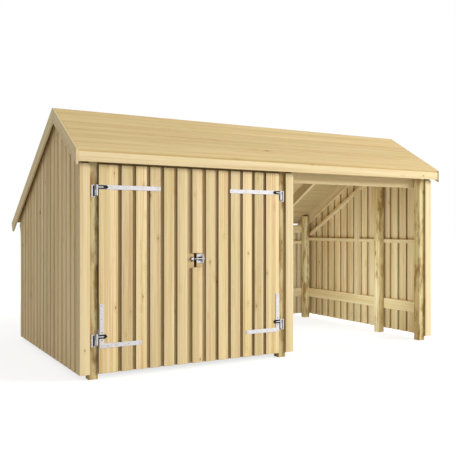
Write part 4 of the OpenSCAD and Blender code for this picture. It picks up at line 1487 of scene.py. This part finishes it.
@dataclass(frozen=True)
class Studio:
    """Floor, light and camera."""

    camera_place: Triple = (-3.7987, -6.7843, 1.3406)
    camera_yaw: float = 29.709
    camera_lens: float = 50.703
    camera_sensor: float = 36.0
    floor_reach: float = 60.0
    floor_color: Color = (0.74, 0.79, 0.84)
    floor_seen: Color = (0.36, 0.36, 0.36)
    floor_glow: tuple[float, float] = (0.78, 1.0)
    glow_reach: tuple[float, float] = (2.5, 7.0)
    # Painted shade on the floor inside the closed room
    room_shade: float = 0.6
    room_fades: tuple[tuple[float, float], ...] = ((0.10, 0.40), (0.0, -0.30), (0.10, 0.50), (0.0, -0.40))
    ambient: float = 0.50
    ambient_color: Color = (1.0, 0.99, 0.97)
    key_turn: float = 52.0
    key_height: float = 16.0
    key_distance: float = 26.0
    key_size: float = 7.5
    key_power: float = 5550.0
    key_color: Color = (1.0, 0.985, 0.955)
    bay_place: Triple = (0.74, -1.0, 0.50)
    bay_size: tuple[float, float] = (0.90, 0.80)
    bay_tilt: float = 14.0
    bay_turn: float = 12.0
    bay_power: float = 25.0
    bay_color: Color = (0.62, 0.78, 1.0)

    def floor(self) -> None:
        """Lays a pale floor that is white to the eye and keeps a soft shadow."""
        reach = self.floor_reach
        mesh = bpy.data.meshes.new("floor")
        corners = [(x, y, 0.0) for x, y in spanned((-reach, -reach), (reach, reach))]
        mesh.from_pydata(corners, [], [(0, 1, 2, 3)])
        floor = bpy.data.objects.new("floor", mesh)
        bpy.context.scene.collection.objects.link(floor)
        graph = Graph(bpy.data.materials.new("floor_white"))
        graph.shade({"Base Color": (*self.floor_color, 1.0), "Roughness": 1.0, "Specular IOR Level": 0.0})
        place = graph.node("ShaderNodeTexCoord").outputs["Object"]
        strength = graph.times(graph.between(graph.length(place), *self.glow_reach, *self.floor_glow),
                               self.outside(graph, place))
        lit = graph.node("ShaderNodeBsdfDiffuse", {"Color": (*self.floor_seen, 1.0)})
        glow = graph.node("ShaderNodeEmission", {"Color": (1.0, 1.0, 1.0, 1.0), "Strength": strength})
        seen = graph.node("ShaderNodeAddShader", {0: lit.outputs[0], 1: glow.outputs[0]})
        graph.by_ray(graph.nodes["Principled BSDF"].outputs[0], seen.outputs[0], "Material Output")
        mesh.materials.append(graph.owner)

    def outside(self, graph: Graph, place: Socket) -> Socket:
        """Paints shade on the closed room's floor, by smooth steps from its four sides towards its middle.

        Args:
            graph: nodes that take the pattern.
            place: place on the floor.

        Returns:
            A factor that is 1 outside the room and less in its middle.
        """
        low, high = corners_of("left_gable_boards")
        wall = corners_of("partition_boards")[0][0]
        axes = graph.node("ShaderNodeSeparateXYZ", {0: place}).outputs
        sides = ((axes[0], low[0]), (axes[0], wall), (axes[1], low[1]), (axes[1], high[1]))
        inside = 1.0
        for (place_on, side), (start, end) in zip(sides, self.room_fades):
            inside = graph.times(inside, graph.between(place_on, side + start, side + end))
        return graph.math("SUBTRACT", 1.0, graph.times(inside, self.room_shade))

    def world(self) -> None:
        """Makes a world that is white to the eye and gives even light."""
        world = bpy.data.worlds.new("studio")
        bpy.context.scene.world = world
        graph = Graph(world)
        light = graph.nodes["Background"]
        light.inputs["Color"].default_value = (*self.ambient_color, 1.0)
        light.inputs["Strength"].default_value = self.ambient
        backdrop = graph.node("ShaderNodeBackground", {"Color": (1.0, 1.0, 1.0, 1.0), "Strength": 1.0})
        graph.by_ray(light.outputs[0], backdrop.outputs[0], "World Output")

    @staticmethod
    def lamp(name: str, power: float, color: Color, size: tuple[float, float]) -> bpy.types.Object:
        """Makes a soft rectangular lamp.

        Args:
            name: name of the lamp.
            power: power in watts.
            color: colour of the light.
            size: width and height.

        Returns:
            The object that holds the lamp.
        """
        lamp = bpy.data.lights.new(name, "AREA")
        lamp.energy, lamp.color = power, color
        lamp.shape = "RECTANGLE"
        lamp.size, lamp.size_y = size
        holder = bpy.data.objects.new(name, lamp)
        bpy.context.scene.collection.objects.link(holder)
        return holder

    def key(self) -> None:
        """Hangs one large soft lamp in front, to the right and above."""
        turn, height = math.radians(self.key_turn), math.radians(self.key_height)
        toward = np.array((math.sin(turn) * math.cos(height), -math.cos(turn) * math.cos(height), math.sin(height)))
        holder = self.lamp("key", self.key_power, self.key_color, (self.key_size, self.key_size))
        holder.location = toward * self.key_distance + Z
        holder.rotation_euler = (math.pi / 2 - height, 0.0, turn)

    def bay(self) -> None:
        """Stands a soft lamp in the open bay's front, facing up to the far corner, where the camera can't see it."""
        holder = self.lamp("bay", self.bay_power, self.bay_color, self.bay_size)
        holder.location = self.bay_place
        holder.rotation_euler = (math.pi / 2 + math.radians(self.bay_tilt), 0.0, -math.radians(self.bay_turn))
        holder.visible_camera = False
        holder.visible_glossy = False

    def camera(self) -> None:
        """Stands a level camera at the photograph's place."""
        data = bpy.data.cameras.new("camera")
        data.lens = self.camera_lens
        data.sensor_width = self.camera_sensor
        holder = bpy.data.objects.new("camera", data)
        holder.location = self.camera_place
        holder.rotation_euler = (math.pi / 2, 0.0, -math.radians(self.camera_yaw))
        bpy.context.scene.collection.objects.link(holder)
        bpy.context.scene.camera = holder

    def build(self) -> None:
        """Sets up floor, world, lamps, camera and view."""
        self.floor()
        self.world()
        self.key()
        self.bay()
        self.camera()
        bpy.context.scene.view_settings.view_transform = "Standard"


def main() -> None:
    """Builds the shed's parts in order, then the studio."""
    logging.basicConfig(level=logging.INFO, format="%(name)s: %(message)s")
    finishes = {finish: finish.value.material() for finish in Finish}
    lines = RoofLines()
    Walls(lines, finishes).build()
    Carcass(lines, finishes).build()
    Roof(lines, finishes).build()
    Doors(finishes).build()
    for side in ("left", "right"):
        Hinges(finishes, side).build()
    Bolt(finishes).build()
    Studio().build()


if __name__ == "__main__":
    main()
